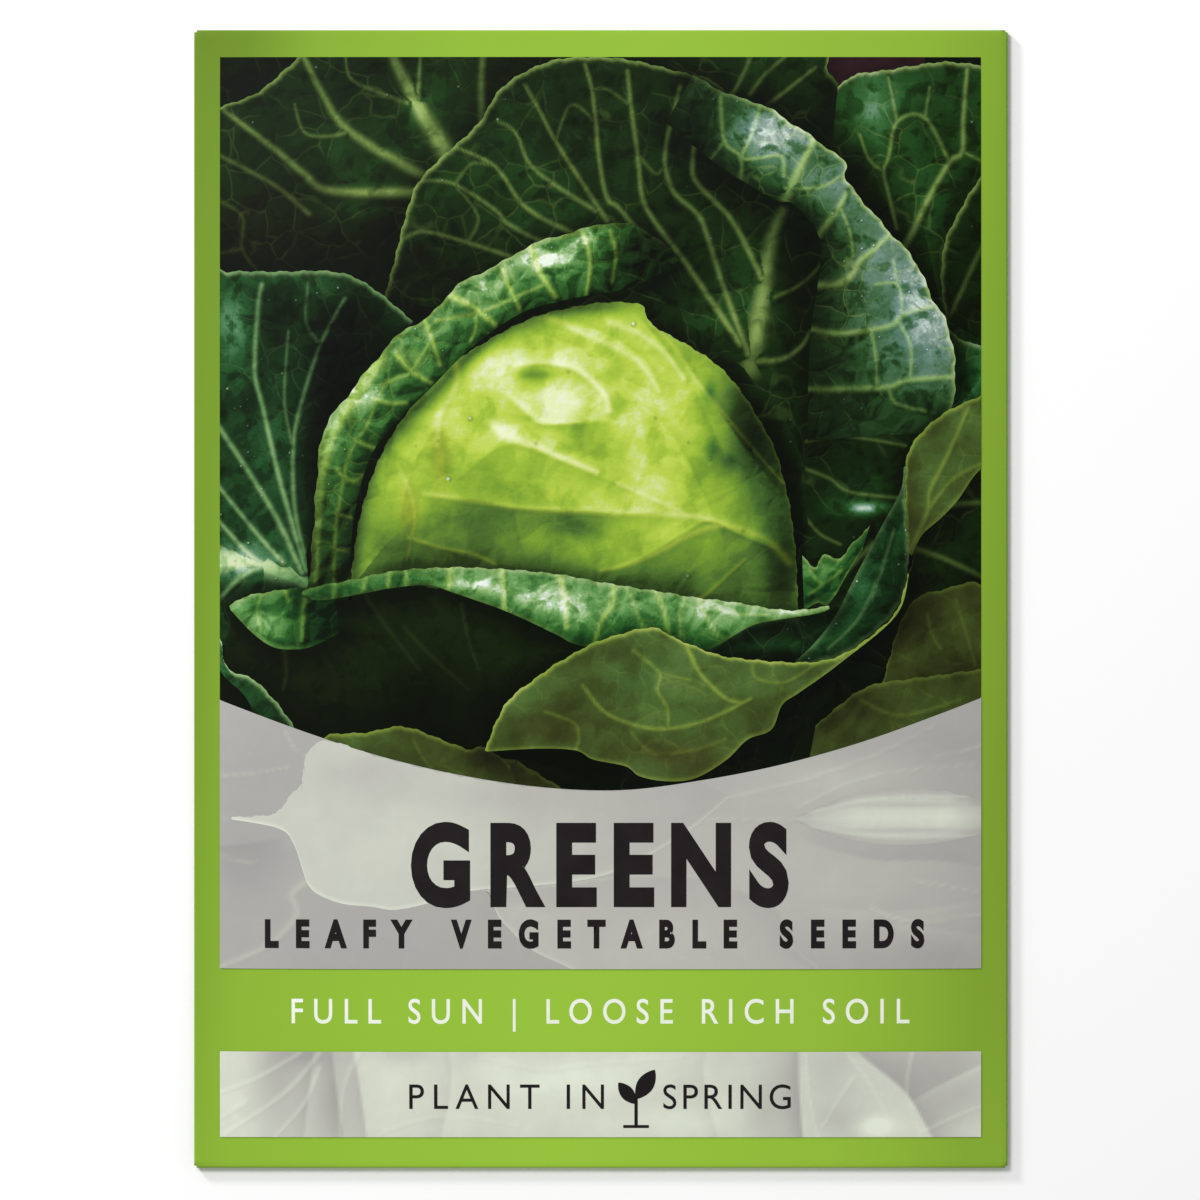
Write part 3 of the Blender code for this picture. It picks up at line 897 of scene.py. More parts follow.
wax_leaf = leaf_ink(
    "wax_leaf_ink",
    [
        (0.00, ink(8, 14, 6)),
        (0.20, ink(22, 40, 18)),
        (0.40, ink(42, 78, 38)),
        (0.58, ink(72, 112, 76)),
        (0.78, ink(110, 142, 126)),
        (0.90, ink(146, 168, 154)),
        (1.00, ink(206, 222, 206)),
    ],
    [(0.0, ink(24, 34, 14)), (0.35, ink(104, 140, 70)), (0.7, ink(166, 196, 122)),
     (1.0, ink(222, 236, 190))],
    net=2.6, puff=0.14, thin=0.4, drops=0.08, drop_size=0.6, blotch=0.38, grain=0.2, wet=0.4,
)
plan_leaf(
    "rolled_rim", 5, wax_leaf, 0.68, ripple=0.09, ripple_length=4.0, rim=0.9, shade=0.8, near_shade=0.7,
    reach=2.6,
    across=[(0, 1.12), (0.3, 1.1), (0.6, 0.85), (0.82, 0.46), (0.94, 0.26), (1, 0.16)],
    along=[(0, 0.27), (0.06, 0.3), (0.11, 0.5), (0.17, 0.95), (0.5, 0.9), (0.8, 0.95), (0.93, 0.75),
           (1, 0.45)],
    far=[(9.3, 53), (12.9, 51.1), (16.4, 50), (19.3, 48.1), (22.4, 46), (24.9, 43.9), (24.8, 42.3),
         (28.6, 37.8), (31.7, 34.2), (33.5, 30.5), (35.1, 27.5), (35.9, 22.3), (35, 17)],
    near=[(6.6, 48.2), (9.6, 45.6), (12.1, 43.7), (14.4, 42.2), (17.7, 40.3), (19.6, 39.8),
          (22.1, 36.4), (21.9, 31.8), (21.2, 27.3), (20.9, 21), (20.9, 16)],
    tints=[(31, 27, 3, 5, -0.25), (15, 48, 2, 1.5, -0.25), (24, 30, 3, 6, 0.25)],
    spots=[(15.5, 46.5, 3, 2.2, 0.22), (22.6, 44, 2.4, 2, -0.22), (22, 41.5, 2.5, 2, 0.14),
           (25, 35, 1.6, 2, -0.2), (28, 33.8, 2.5, 2, 0.1), (32, 29, 2.5, 3, 0.2),
           (24, 29.5, 3, 2, -0.14), (24, 24, 3, 2.5, -0.16), (32.5, 24.5, 2.5, 2.5, 0.16),
           (27, 19.5, 5, 2, -0.3), (22.4, 36, 1.4, 5, -0.2), (33.5, 20, 2, 2, -0.1)],
    veins=[
        (1.8, 0.9, 1.0, [(18.4, 39.2), (18.9, 40.8), (19.7, 42.7), (21, 45.3), (21.7, 46.7)]),
        (0.6, 0.5, 0.8, [(12.1, 50.8), (12.5, 46.3), (14.1, 44.7), (14.2, 42.5), (14.6, 40.4)]),
        (0.6, 0.4, 0.8, [(16.1, 49.8), (15.3, 47), (14.4, 44.5), (18.1, 44.8), (18.5, 42.7)]),
        (0.5, 0.4, 0.6, [(12.5, 46.3), (11, 44.3)]),
        (0.6, 0.4, 0.7, [(18.7, 41.5), (22.1, 41.6), (24.2, 42.7)]),
        (1.3, 0.6, 1.0, [(21.8, 36.2), (22.6, 37.5), (23.9, 39.3), (24.8, 41)]),
        (0.5, 0.4, 0.7, [(24.3, 39.3), (25.2, 37), (25.5, 34.7)]),
        (1.4, 0.6, 1.0, [(21.6, 31.6), (23.7, 31.7), (25.2, 32.6), (26.2, 34.2), (27.8, 35.5),
                         (29.3, 37)]),
        (0.5, 0.4, 0.7, [(27.8, 31.8), (29.9, 31.9), (30.4, 30.3), (30.4, 28.7)]),
        (0.5, 0.4, 0.6, [(29.9, 32.3), (29.6, 34.2)]),
        (1.0, 0.6, 0.9, [(21.4, 27.2), (24.2, 26.8), (27.3, 27.2), (29.4, 27.7), (30.9, 28.9),
                         (34, 29.7)]),
        (0.6, 0.4, 0.7, [(27.3, 27.2), (27.8, 24.3), (27.9, 21.4)]),
        (0.6, 0.4, 0.8, [(30.1, 28), (31.3, 25.6), (31.3, 22.2)]),
        (1.1, 0.7, 0.95, [(20.8, 21.1), (24.7, 21.2), (29.1, 21.4), (30.9, 22.1), (35.9, 22.5)]),
        (0.6, 0.4, 0.7, [(29.1, 21.4), (29.8, 19.8), (32.8, 19)]),
    ],
)
print("planned:", len(picture), "leaves")

# %% [markdown]
# ## The left leaf
# This leaf stands at the left with its foot at the head's own foot. Its midrib is thick and pale and
# runs out of the picture, and thinner veins fan upwards from it. The left side is wet, so its finish
# carries more drops, and its green leans to blue.

# %% Left leaves
wet_leaf = leaf_ink(
    "wet_leaf_ink",
    [
        (0.00, ink(6, 9, 5)),
        (0.16, ink(12, 24, 9)),
        (0.34, ink(20, 48, 20)),
        (0.54, ink(36, 84, 42)),
        (0.74, ink(78, 128, 88)),
        (0.90, ink(134, 172, 144)),
        (1.00, ink(206, 226, 204)),
    ],
    [(0.0, ink(20, 30, 14)), (0.3, ink(96, 140, 84)), (0.6, ink(150, 186, 122)),
     (0.9, ink(208, 222, 180))],
    net=2.8, puff=0.12, thin=0.12, drops=0.14, drop_size=0.7, blotch=0.3, grain=0.16,
)
plan_leaf(
    "left_leaf", 5, wet_leaf, 0.34, rim=0.8, shade=0.7, reach=2.6,
    far=[(-19, 28.1), (-22.9, 31.3), (-25.4, 32.7), (-28.5, 33.2), (-31.5, 33.1), (-37.6, 33.1),
         (-39.1, 32.3), (-40.6, 20), (-40.6, 8), (-40, 0), (-39, -5.2)],
    near=[(-29.9, 4.5), (-29.6, 1.6), (-30.5, -0.1)],
    spots=[(-29, 31.6, 3.4, 1.3, 0.22), (-25, 24, 5, 8, -0.3), (-27.5, 13, 2.6, 9, -0.32),
           (-37.3, 27, 2, 5, 0.2), (-33.5, 28, 2, 4, -0.14), (-37.6, 29, 1.6, 3, 0.16),
           (-36, 22, 3, 4, 0.02), (-34, 12, 4, 5, 0.14), (-35, 5.5, 4, 2, 0.18), (-33, 16, 2, 4, 0.08),
           (-37, -2, 2, 3, 0.06), (-26, 29, 3, 2, -0.06), (-36, 3.4, 5, 1.6, 0.6),
           (-35, 32.4, 4, 0.7, 0.15)],
    veins=[
        (2.4, 4.6, 1.2, [(-29.6, 1.5), (-32.5, 2.8), (-35.3, 3.7), (-39.1, 4)]),
        (0.9, 0.8, 0.9, [(-30.2, 2.7), (-32.7, 8), (-35.6, 12.8), (-38.8, 17.6)]),
        (0.9, 0.6, 0.9, [(-29.8, 2.9), (-31.3, 8), (-32.7, 12.9), (-34.2, 19.4), (-35, 23),
                         (-34.7, 29.3), (-34.3, 31.8)]),
        (0.8, 0.5, 0.75, [(-29.7, 3.4), (-30.9, 8.8), (-31.1, 15.3), (-30.3, 19.7), (-28.3, 25.7),
                          (-25.9, 30.3)]),
        (0.8, 0.6, 0.8, [(-32.2, 3.7), (-35.3, 7.2), (-38.8, 11.5)]),
        (0.8, 0.6, 0.8, [(-34.4, 3.7), (-35.8, 4.7), (-38.8, 8)]),
        (0.9, 0.6, 0.8, [(-34.4, 3.3), (-36.3, 2.3), (-38.8, -0.1)]),
        (0.5, 0.3, 0.4, [(-31.1, 15.3), (-32, 20), (-31.6, 27)]),
        (0.4, 0.3, 0.35, [(-28.3, 25.7), (-29.8, 28), (-29.6, 32)]),
    ],
)
plan_leaf(
    "small_left_leaf", 8, wet_leaf, 0.5, rim=1.0, shade=0.4,
    along=[(0, 1.1), (0.5, 0.9), (1, 0.6)],
    far=[(-39.2, -2.1), (-38.5, -4.2), (-37.8, -7), (-35.2, -8.1), (-33.5, -9.7), (-31.7, -11.9),
         (-30.5, -13.8)],
    near=[(-39.2, -6.2), (-38, -8), (-36.6, -9.2), (-35.6, -10.5), (-35, -12.1), (-34.6, -14.3)],
)
print("planned:", len(picture), "leaves")

# %% [markdown]
# ## The head
# The head is the bright heart of the picture: tight, waxy leaves in yellow-green, lit from the upper
# left. It isn't drawn as one ball. The wrapper leaves overlap, so pale edges sweep round the top, a
# forked vein comes in from the right, darker windows lie between the veins below it, and a wet shine
# breaks up near the top. A dark gap separates it from the leaves round it, and that gap is a skin too.

# %% Head and the gap round it
head_leaf = leaf_ink(
    "head_ink",
    [
        (0.00, ink(16, 18, 8)),
        (0.16, ink(40, 60, 24)),
        (0.32, ink(80, 116, 46)),
        (0.48, ink(118, 156, 50)),
        (0.64, ink(154, 188, 58)),
        (0.78, ink(188, 212, 78)),
        (0.90, ink(208, 225, 128)),
        (1.00, ink(228, 240, 184)),
    ],
    [(0.0, ink(48, 54, 16)), (0.3, ink(132, 156, 46)), (0.6, ink(200, 214, 84)),
     (0.9, ink(240, 246, 196))],
    net=4.5, puff=0.12, thin=0.0, drops=0.03, drop_size=1.1, mottle=0.10, blotch=0.16, blotch_size=4.0,
    grain=0.07, wet=0.35, wet_size=1.0,
)
plan_leaf(
    "head_gap", 5, deep_leaf, 0.1, rim=0.0, shade=0.0,
    across=[(0, 3.0), (0.05, 2.4), (0.1, 1.4), (0.16, 0.7), (1, 0.6)],
    far=[(-27.2, -1.3), (-26.2, 6), (-25.2, 11), (-23, 16.1), (-17.8, 23), (-10.2, 28.6), (-4.2, 31),
         (4, 31.6), (8, 28.4), (13, 24.6), (17.2, 20), (20, 15.1), (20.8, 10), (20.8, 4), (20.8, -1.6)],
    near=[(-25.9, -2.6), (-10.2, -2.1), (5, -4.2), (20.8, -2.3)],
)
plan_leaf(
    "head", 6, head_leaf, 0.76, rim=0.15, shade=0.5, reach=1.6,
    across=[(0, 0.82), (0.03, 0.95), (0.1, 1), (1, 1)],
    far=[(-25.4, 0.4), (-24.9, 5), (-23.9, 10), (-21.4, 16.1), (-16.3, 22.7), (-10.2, 26.8),
         (-5.7, 28.8), (-0.1, 29.9), (4, 29.7), (5.2, 27.7), (10.6, 24.5), (13.6, 21.7), (15.8, 18.4),
         (17.4, 15.5), (18.4, 12.3), (19.2, 8.5), (19.7, 4), (19.9, -0.9)],
    near=[(-25.2, -1.6), (-15.3, -0.5), (-4.2, -1.5), (5, -3), (14.1, -3.1), (19.9, -2.1)],
    tints=[(-16.2, 14.2, 1.0, 2.8, 0.3), (-19.4, 8.6, 1.0, 2.6, 0.35), (-14, 4, 5, 2, 0.12),
           (11, 20.9, 0.6, 1.1, -0.7), (11.2, 15.2, 0.7, 1.3, -0.6), (13, 14, 0.9, 0.8, -0.5),
           (16, 15, 2.2, 5, -0.35), (-2, 7.2, 3.5, 1.4, -0.2), (17.5, 7, 2.4, 4, -0.3)],
    spots=[(-7, 22.5, 8, 4.5, 0.08), (-5.2, 19.9, 2.6, 1.5, 0.12), (-2.2, 20.1, 3.6, 1.7, 0.12),
           (0, 19.4, 1.2, 1.3, 0.1), (-9.4, 16.8, 1.5, 0.9, 0.22), (-5.5, 24.6, 4, 0.9, 0.06),
           (-12, 24.4, 3.6, 2.2, 0.17), (-7, 26.6, 4, 1.2, 0.08), (-15.4, 20, 1.4, 3, 0.08),
           (1, 25.6, 4, 2, 0.09), (6, 22, 3, 4, 0.05), (-7.2, 22.6, 1.8, 0.5, -0.24),
           (-5.4, 22.7, 2, 0.5, -0.1), (-12.6, 19.6, 3, 2, -0.04), (9, 17, 4, 5, -0.05),
           (15.6, 16, 3.4, 6, -0.28), (19.2, 9, 3.2, 9, -0.5), (11, 20.9, 0.6, 1, -0.16),
           (11.2, 15.2, 0.7, 1.3, -0.16), (13, 14, 0.8, 0.7, -0.12), (-2, 29.4, 5, 0.8, -0.3),
           (15, 21, 3.4, 6, -0.34), (-14, 4.5, 8, 4.5, -0.14), (15, 4, 5, 4, -0.1),
           (-18, 12, 3.4, 4, -0.1), (-13, 8, 5, 1.9, -0.2), (-2.6, 7.4, 3.6, 1.2, -0.25),
           (-14, 5.2, 5, 1.4, -0.1), (-12, 2.6, 6, 1.2, -0.08), (-19, 9, 2, 5, 0.08),
           (3.5, 19, 2, 3, 0.1), (5, 13, 4, 2, 0.06), (6, 1.5, 6, 2.6, -0.16), (14, 1.8, 5, 3, -0.2),
           (-21.6, 6, 3.4, 7, -0.24), (-8, 1, 7, 2.4, -0.18), (18.4, 1, 2, 5, -0.3),
           (-11, 12.4, 5.5, 2.2, -0.09), (14.5, 13, 3.4, 7, -0.15), (-19, 5.5, 4, 3.5, -0.12),
           (-5, 5.4, 11, 3, -0.04), (10, 3, 5, 3, -0.06)],
    folds=[
        (-0.32, 2.4, [(-18, 10.5), (-12.8, 10.2), (-8.7, 9.4), (-1, 9), (3.7, 8.8), (7.2, 9.2)]),
        (-0.15, 4.0, [(-15.4, 11.3), (-12.2, 14.2), (-9.9, 15.7), (-7.4, 15.5), (-4.2, 14.2),
                      (-0.4, 12.6), (3.7, 11)]),
        (-0.24, 1.6, [(-9.1, 20.4), (-7.1, 18.6), (-5.8, 17.8), (-2, 17.9), (0.9, 18.1)]),
        (0.14, 3.0, [(0.9, 18.1), (-2, 17.9), (-5.8, 17.8), (-7.1, 18.6), (-9.1, 20.4)]),
        (-0.12, 1.5, [(0.9, 18.1), (0.9, 19), (0.5, 20.5), (-1, 22.1)]),
        (-0.14, 1.2, [(-8.7, 23.6), (-6.1, 23.9), (-3, 23.4), (-1, 22.1), (0.5, 20.5), (0.9, 19)]),
        (-0.14, 1.6, [(5.8, 20.9), (5, 23.1), (3.1, 25), (-0.1, 26.9), (-4.2, 28.3)]),
        (-0.16, 2.0, [(8.8, 21.5), (7.2, 24), (5.3, 26.6), (3, 29)]),
        (-0.16, 3.0, [(18, 10.7), (14.2, 15.5), (10.4, 20.9), (7.2, 25.3)]),
        (-0.26, 3.0, [(-1, 2.8), (2.1, 3.4), (5.3, 5), (8.5, 6.9), (11, 8), (14.2, 6.6), (18, 5)]),
        (-0.12, 1.8, [(-20.4, 6.3), (-16, 5.3), (-12.8, 4.3), (-9.9, 3.4)]),
        (-0.1, 1.6, [(-8.7, 9.4), (-8, 6), (-7.1, 3.4)]),
        (0.1, 2.2, [(-14.7, 23.5), (-16.3, 18), (-19, 13), (-20.4, 6.5)]),
        (-0.1, 1.2, [(12.5, 5.5), (8, 15), (5.2, 18.6)]),
        (-0.1, 1.0, [(9, 22.5), (11.5, 17), (13.5, 12)]),
    ],
    veins=[
        (1.4, 0.7, 0.6, [(19, 3.6), (16.8, 5.9), (12.6, 7.5), (9, 8.4), (4.9, 8.6), (0, 8.7),
                         (-8.1, 9.2), (-17.8, 10.6)]),
        (0.9, 0.5, 0.5, [(9, 8.4), (5.5, 10), (1.6, 11.7)]),
        (1.2, 0.7, 0.55, [(12.6, 7.5), (9.7, 6.8), (6.1, 4.9), (2.9, 3.5), (0, 2.9)]),
        (0.6, 0.4, 0.5, [(-19.4, 6.2), (-16.2, 5.2), (-13, 4.6), (-10.6, 3.5)]),
        (1.2, 0.8, 0.5, [(-14.6, 23.6), (-14.6, 21.7), (-16.2, 18.4), (-16.5, 15.5)]),
        (1.0, 0.8, 0.6, [(-5.5, 28.5), (-1.9, 26.9), (1.6, 25.3), (3.5, 24.2), (4.9, 22.6), (5.8, 21)]),
        (1.2, 0.8, 0.6, [(0.9, 27.9), (4.2, 26.6), (6.8, 24.5), (8.4, 22.2)]),
        (0.8, 1.5, 0.9, [(-8.7, 23.6), (-6.1, 23.9), (-3, 23.5), (-1, 22.1), (0.4, 20.6), (0.8, 19.1)]),
        (0.9, 0.5, 0.5, [(-9.1, 20.4), (-7.1, 18.6), (-5.8, 17.8), (-2, 17.9)]),
        (1.6, 0.8, 0.95, [(-10.9, 17.6), (-9.6, 16.5), (-7.4, 15.7), (-4.2, 14.4), (-0.4, 12.8)]),
        (0.7, 0.4, 0.45, [(5.2, 27.7), (7.2, 25.7), (10, 21.7), (14.5, 16.2), (18.4, 11.7)]),
        (0.6, 0.4, 0.5, [(9.7, -0.1), (10.9, 0.7), (13.1, 2.7), (14.6, 4)]),
        (0.7, 0.4, 0.3, [(-20.5, 13.5), (-18.8, 9), (-19.6, 4)]),
    ],
)
print("planned:", len(picture), "leaves")

# %% [markdown]
# ## The curled leaf round the head
# The leaf at the head's left has curled its margin outwards into a roll. Across the roll the light
# rises and falls as on a tube: pale where it faces the sky, dark where it turns under towards the head.
# Its veins cross it like hoops. The front of the same leaf passes below the head as a bright wet band.

# %% Curled margins
curl_leaf = leaf_ink(
    "curl_ink",
    [
        (0.00, ink(8, 16, 6)),
        (0.18, ink(22, 48, 18)),
        (0.38, ink(40, 84, 34)),
        (0.56, ink(70, 124, 58)),
        (0.74, ink(114, 160, 92)),
        (0.90, ink(172, 204, 146)),
        (1.00, ink(238, 246, 228)),
    ],
    [(0.0, ink(40, 58, 18)), (0.3, ink(112, 152, 58)), (0.6, ink(172, 204, 98)),
     (0.9, ink(236, 244, 190))],
    net=2.6, puff=0.28, thin=0.28, drops=0.08, drop_size=0.55, blotch=0.3, grain=0.16, wet=0.8,
)
plan_leaf(
    "curled_rim", 7, curl_leaf, 0.58, ripple=0.09, ripple_length=4.6, rim=0.4, shade=0.7, reach=1.1,
    across=[(0, 0.85), (0.15, 1.1), (0.45, 1.0), (0.8, 0.72), (1, 0.35)],
    along=[(0, 0.36), (0.12, 0.46), (0.22, 0.66), (0.32, 0.85), (0.5, 0.95), (0.75, 1.1), (0.82, 0.9),
           (0.87, 0.42), (0.93, 0.2), (1, 0.06)],
    far=[(-29.6, -0.1), (-29.3, 4), (-28.7, 12.1), (-28, 17.1), (-25.7, 20.4), (-20.4, 26.8),
         (-17.6, 28.3), (-14.3, 31.8), (-10.2, 33.9), (-6.7, 35.9), (-1.1, 37.6), (1.1, 38),
         (3.4, 37.7), (5.8, 36.4), (7.8, 34.4)],
    near=[(-25.2, -0.1), (-25.2, 6), (-24.4, 11), (-22.9, 15.1), (-20.4, 18.1), (-17.3, 21.2),
          (-13.3, 25.2), (-8.2, 28.8), (-3.1, 30.3), (1.9, 31.2), (5, 32.3), (7.8, 34.2)],
    tints=[(5, 35, 3, 2, 0.5), (-27, 17, 1, 4, -0.2), (-27, 6, 2.4, 7, 0.25)],
    spots=[(-27, 16.5, 1.0, 4, 0.3), (-24.6, 20.4, 1.6, 2.2, 0.26), (-4.5, 34.2, 3.4, 1.1, 0.36),
           (0, 36.6, 2.6, 0.9, 0.34), (-12.5, 31.5, 2.5, 1.5, 0.12), (4.5, 34, 3, 2.5, -0.2),
           (-24, 13.5, 1.3, 2.5, -0.16), (-19.5, 20.5, 1.6, 1.6, -0.08), (-17, 25.5, 1.5, 1.2, -0.1)],
    veins=[
        (1.2, 0.9, 1.0, [(-15.1, 30.6), (-12.8, 29.4), (-10.7, 27.7)]),
        (0.8, 0.6, 0.9, [(-9.9, 33.3), (-9.4, 31.8), (-8.2, 29.3)]),
        (1.3, 0.8, 1.0, [(-7, 35.4), (-6.2, 33.1), (-4.6, 30.5)]),
        (0.7, 0.5, 0.85, [(-1.8, 36.9), (-1.1, 34.2), (-1.5, 30.7)]),
        (0.8, 0.6, 0.85, [(-17.9, 28.5), (-17.1, 26.2), (-16.2, 23.7)]),
        (1.1, 0.6, 1.0, [(-20.6, 24.7), (-19.4, 23.2), (-17.1, 21.8)]),
        (0.7, 0.5, 0.8, [(-23, 20.2), (-21.4, 19.8), (-19.6, 19.8)]),
        (0.6, 0.5, 0.8, [(-24.8, 16.1), (-23.4, 15.4), (-22.2, 14.9)]),
        (0.6, 0.5, 0.6, [(-16.7, 28.1), (-14.3, 28.5), (-12.1, 29), (-9, 30.3), (-5.7, 31.8)]),
        (0.6, 0.4, 0.6, [(-21.9, 21.7), (-20.4, 22.4), (-19.2, 23), (-17.1, 26.2)]),
        (0.7, 0.5, 0.7, [(-26.6, 13), (-25.9, 12.3), (-24.8, 11.9), (-23.8, 12.7)]),
        (0.5, 0.4, 0.6, [(-26.8, 8.6), (-25.2, 8.2)]),
        (0.5, 0.4, 0.6, [(-26.8, 5), (-25.2, 5)]),
        (0.6, 0.4, 0.7, [(0.9, 37.2), (1.5, 34.9), (1.1, 31.8)]),
        (0.7, 0.5, 0.4, [(-27, 0.9), (-26.9, 6), (-26.2, 11), (-25.4, 14.6), (-23.6, 17.6),
                         (-21.9, 21.7)]),
        (2.8, 1.8, 0.85, [(-22.4, 24.2), (-24.8, 20.6), (-27.2, 16.6), (-28.2, 12.6)]),
        (1.4, 0.9, 0.5, [(-28.2, 12.6), (-28.6, 7), (-28.9, 0.5)]),
        (0.5, 0.4, 0.7, [(-12.8, 29.4), (-12.6, 27.6), (-13.2, 26)]),
    ],
)
print("veins so far:", veins_drawn())

# %% The wet band below the head
front_leaf = leaf_ink(
    "front_rim_ink",
    [
        (0.00, ink(8, 22, 8)),
        (0.18, ink(22, 60, 24)),
        (0.38, ink(48, 102, 42)),
        (0.58, ink(92, 146, 76)),
        (0.76, ink(138, 180, 114)),
        (0.90, ink(188, 214, 176)),
        (1.00, ink(240, 248, 240)),
    ],
    [(0.0, ink(40, 66, 22)), (0.3, ink(110, 156, 64)), (0.6, ink(178, 208, 118)),
     (0.9, ink(240, 246, 204))],
    net=2.2, puff=0.18, thin=0.2, drops=0.12, drop_size=0.45, blotch=0.26, grain=0.18, wet=0.9,
)
plan_leaf(
    "front_rim", 9, front_leaf, 0.68, step=0.3, rim=0.35, near_rim=0.2, shade=0.75, reach=2.4,
    across=[(0, 0.85), (0.2, 1.0), (0.6, 0.9), (0.85, 0.62), (1, 0.4)],
    along=[(0, 0.5), (0.2, 0.6), (0.3, 0.95), (0.5, 1.08), (0.75, 1.12), (0.9, 1.1), (1, 0.95)],
    far=[(-30.2, 0.7), (-29, 1.2), (-27.1, 1.6), (-24.3, 2.1), (-21.1, 2.8), (-14.8, 3.2), (-7, 2.8),
         (-2.6, 2.2), (0.5, 1.6), (5.6, 0.8), (9.9, 0.1), (14, -0.4), (17.3, -1), (20.2, -1.1),
         (23, -0.7)],
    near=[(-30.2, 0.5), (-29, -0.1), (-27.1, 0), (-24.3, 0.5), (-21.1, 1.1), (-17.5, 1.4), (-14.8, 0.6),
          (-10.2, -1), (-7.2, -2.3), (-4.3, -3.7), (-2.1, -4.7), (4, -5.6), (9, -5.6), (11.2, -5),
          (15, -2.8), (17.3, -2.2), (21.7, -1.5), (23.1, -1)],
    spots=[(-12.5, 1.4, 2.6, 0.7, 0.4), (-6, -0.2, 3.4, 1.5, 0.38), (-1.5, -2.4, 2.4, 1.3, 0.34),
           (5, -1.5, 5, 2, 0.06), (12, -2.4, 7, 2.4, 0.09), (-8, 2, 5, 0.7, -0.1),
           (1.5, 0.3, 3, 0.8, -0.14)],
    veins=[
        (1.4, 0.9, 1.0, [(-15.2, 3.1), (-15.4, 1.1)]),
        (1.0, 0.6, 0.95, [(-10, 3), (-9.7, -1.3)]),
        (1.2, 0.7, 0.95, [(-4.2, 2.4), (-3.6, -0.1), (-3.5, -2.9)]),
        (1.1, 0.7, 0.95, [(1.3, 1.3), (1.1, -0.6), (0.1, -2.1), (-0.6, -4.4)]),
        (0.5, 0.4, 0.6, [(2.5, 1.2), (3.2, -0.1), (3.6, -1.3), (4.4, -3)]),
        (1.0, 0.6, 0.95, [(5.5, 0.8), (6.2, -0.6), (6.8, -3.3), (7, -5)]),
        (0.6, 0.4, 0.7, [(11.2, 0.7), (9.9, -0.1), (10.7, -1.9), (11.8, -3.7)]),
        (0.5, 0.4, 0.6, [(8.5, 0.1), (8, -1.6), (8.2, -4)]),
        (0.5, 0.4, 0.5, [(9.9, -0.1), (13, -1.4), (17, -1.6)]),
        (0.7, 0.5, 0.8, [(-23.8, 2.1), (-24, 0.8)]),
        (0.7, 0.5, 0.8, [(-21.3, 2.6), (-21.5, 1.2)]),
        (0.6, 0.5, 0.8, [(-19.7, 2.8), (-19.6, 1.4)]),
        (0.6, 0.5, 0.7, [(-26.9, 1.6), (-27, 0)]),
    ],
)
plan_leaf(
    "front_rim_end", 8, front_leaf, 0.54, rim=0.3, near_rim=0.2, shade=0.7, reach=2.0,
    across=[(0, 0.95), (0.3, 1.05), (0.75, 0.85), (1, 0.6)],
    along=[(0, 0.9), (0.35, 1.1), (0.52, 0.9), (0.66, 0.5), (0.8, 0.15), (1, 0.02)],
    far=[(-37.6, -0.7), (-35.8, 0.3), (-32.5, 0.9), (-29.8, 1.2), (-27, 1.2)],
    near=[(-37.5, -1.1), (-35.3, -3.4), (-33.3, -4.8), (-31.4, -5.1), (-29.2, -4.8), (-26.4, -3.4)],
    spots=[(-34.5, -0.8, 1.2, 0.8, -0.3), (-33.4, -2.4, 2.4, 1.2, 0.2), (-36.4, -1.2, 1, 0.7, 0.2)],
    veins=[
        (0.9, 0.6, 0.9, [(-29.8, 0.9), (-30.1, -1.8), (-30.2, -4.2)]),
        (0.8, 0.5, 0.8, [(-31.9, 0.9), (-31.6, -0.2)]),
        (0.5, 0.4, 0.5, [(-34.4, 0.2), (-34.8, -1.3), (-34.4, -3.1)]),
    ],
)
print("planned:", len(picture), "leaves")

# %% [markdown]
# ## The leaves in front
# Below the wet band lies the shaded outer face of that leaf, almost black. In front of everything, at
# the lower right, a broad leaf turns its dull olive back to us, with a bright cut line along its top
# edge, and sweeps up the right side of the picture.

# %% Front leaves
olive_leaf = leaf_ink(
    "olive_leaf_ink",
    [
        (0.00, ink(16, 18, 8)),
        (0.18, ink(40, 44, 18)),
        (0.38, ink(62, 76, 32)),
        (0.56, ink(76, 104, 48)),
        (0.74, ink(102, 128, 64)),
        (1.00, ink(158, 172, 104)),
    ],
    [(0.0, ink(34, 38, 14)), (0.3, ink(92, 112, 44)), (0.6, ink(142, 166, 66)),
     (0.9, ink(196, 208, 118))],
    net=3.6, puff=0.09, thin=0.16, mottle=0.22, blotch=0.16, blotch_size=4.0, grain=0.12,
)
shaded_leaf = leaf_ink(
    "shaded_leaf_ink",
    [(0.0, ink(4, 7, 3)), (0.15, ink(10, 18, 5)), (0.35, ink(22, 36, 10)), (0.6, ink(48, 72, 30)),
     (1.0, ink(96, 116, 70))],
    [(0.0, ink(14, 20, 8)), (0.3, ink(46, 58, 28)), (1.0, ink(110, 130, 70))],
    net=5.0, puff=0.02, thin=0.06, mottle=0.2,
)
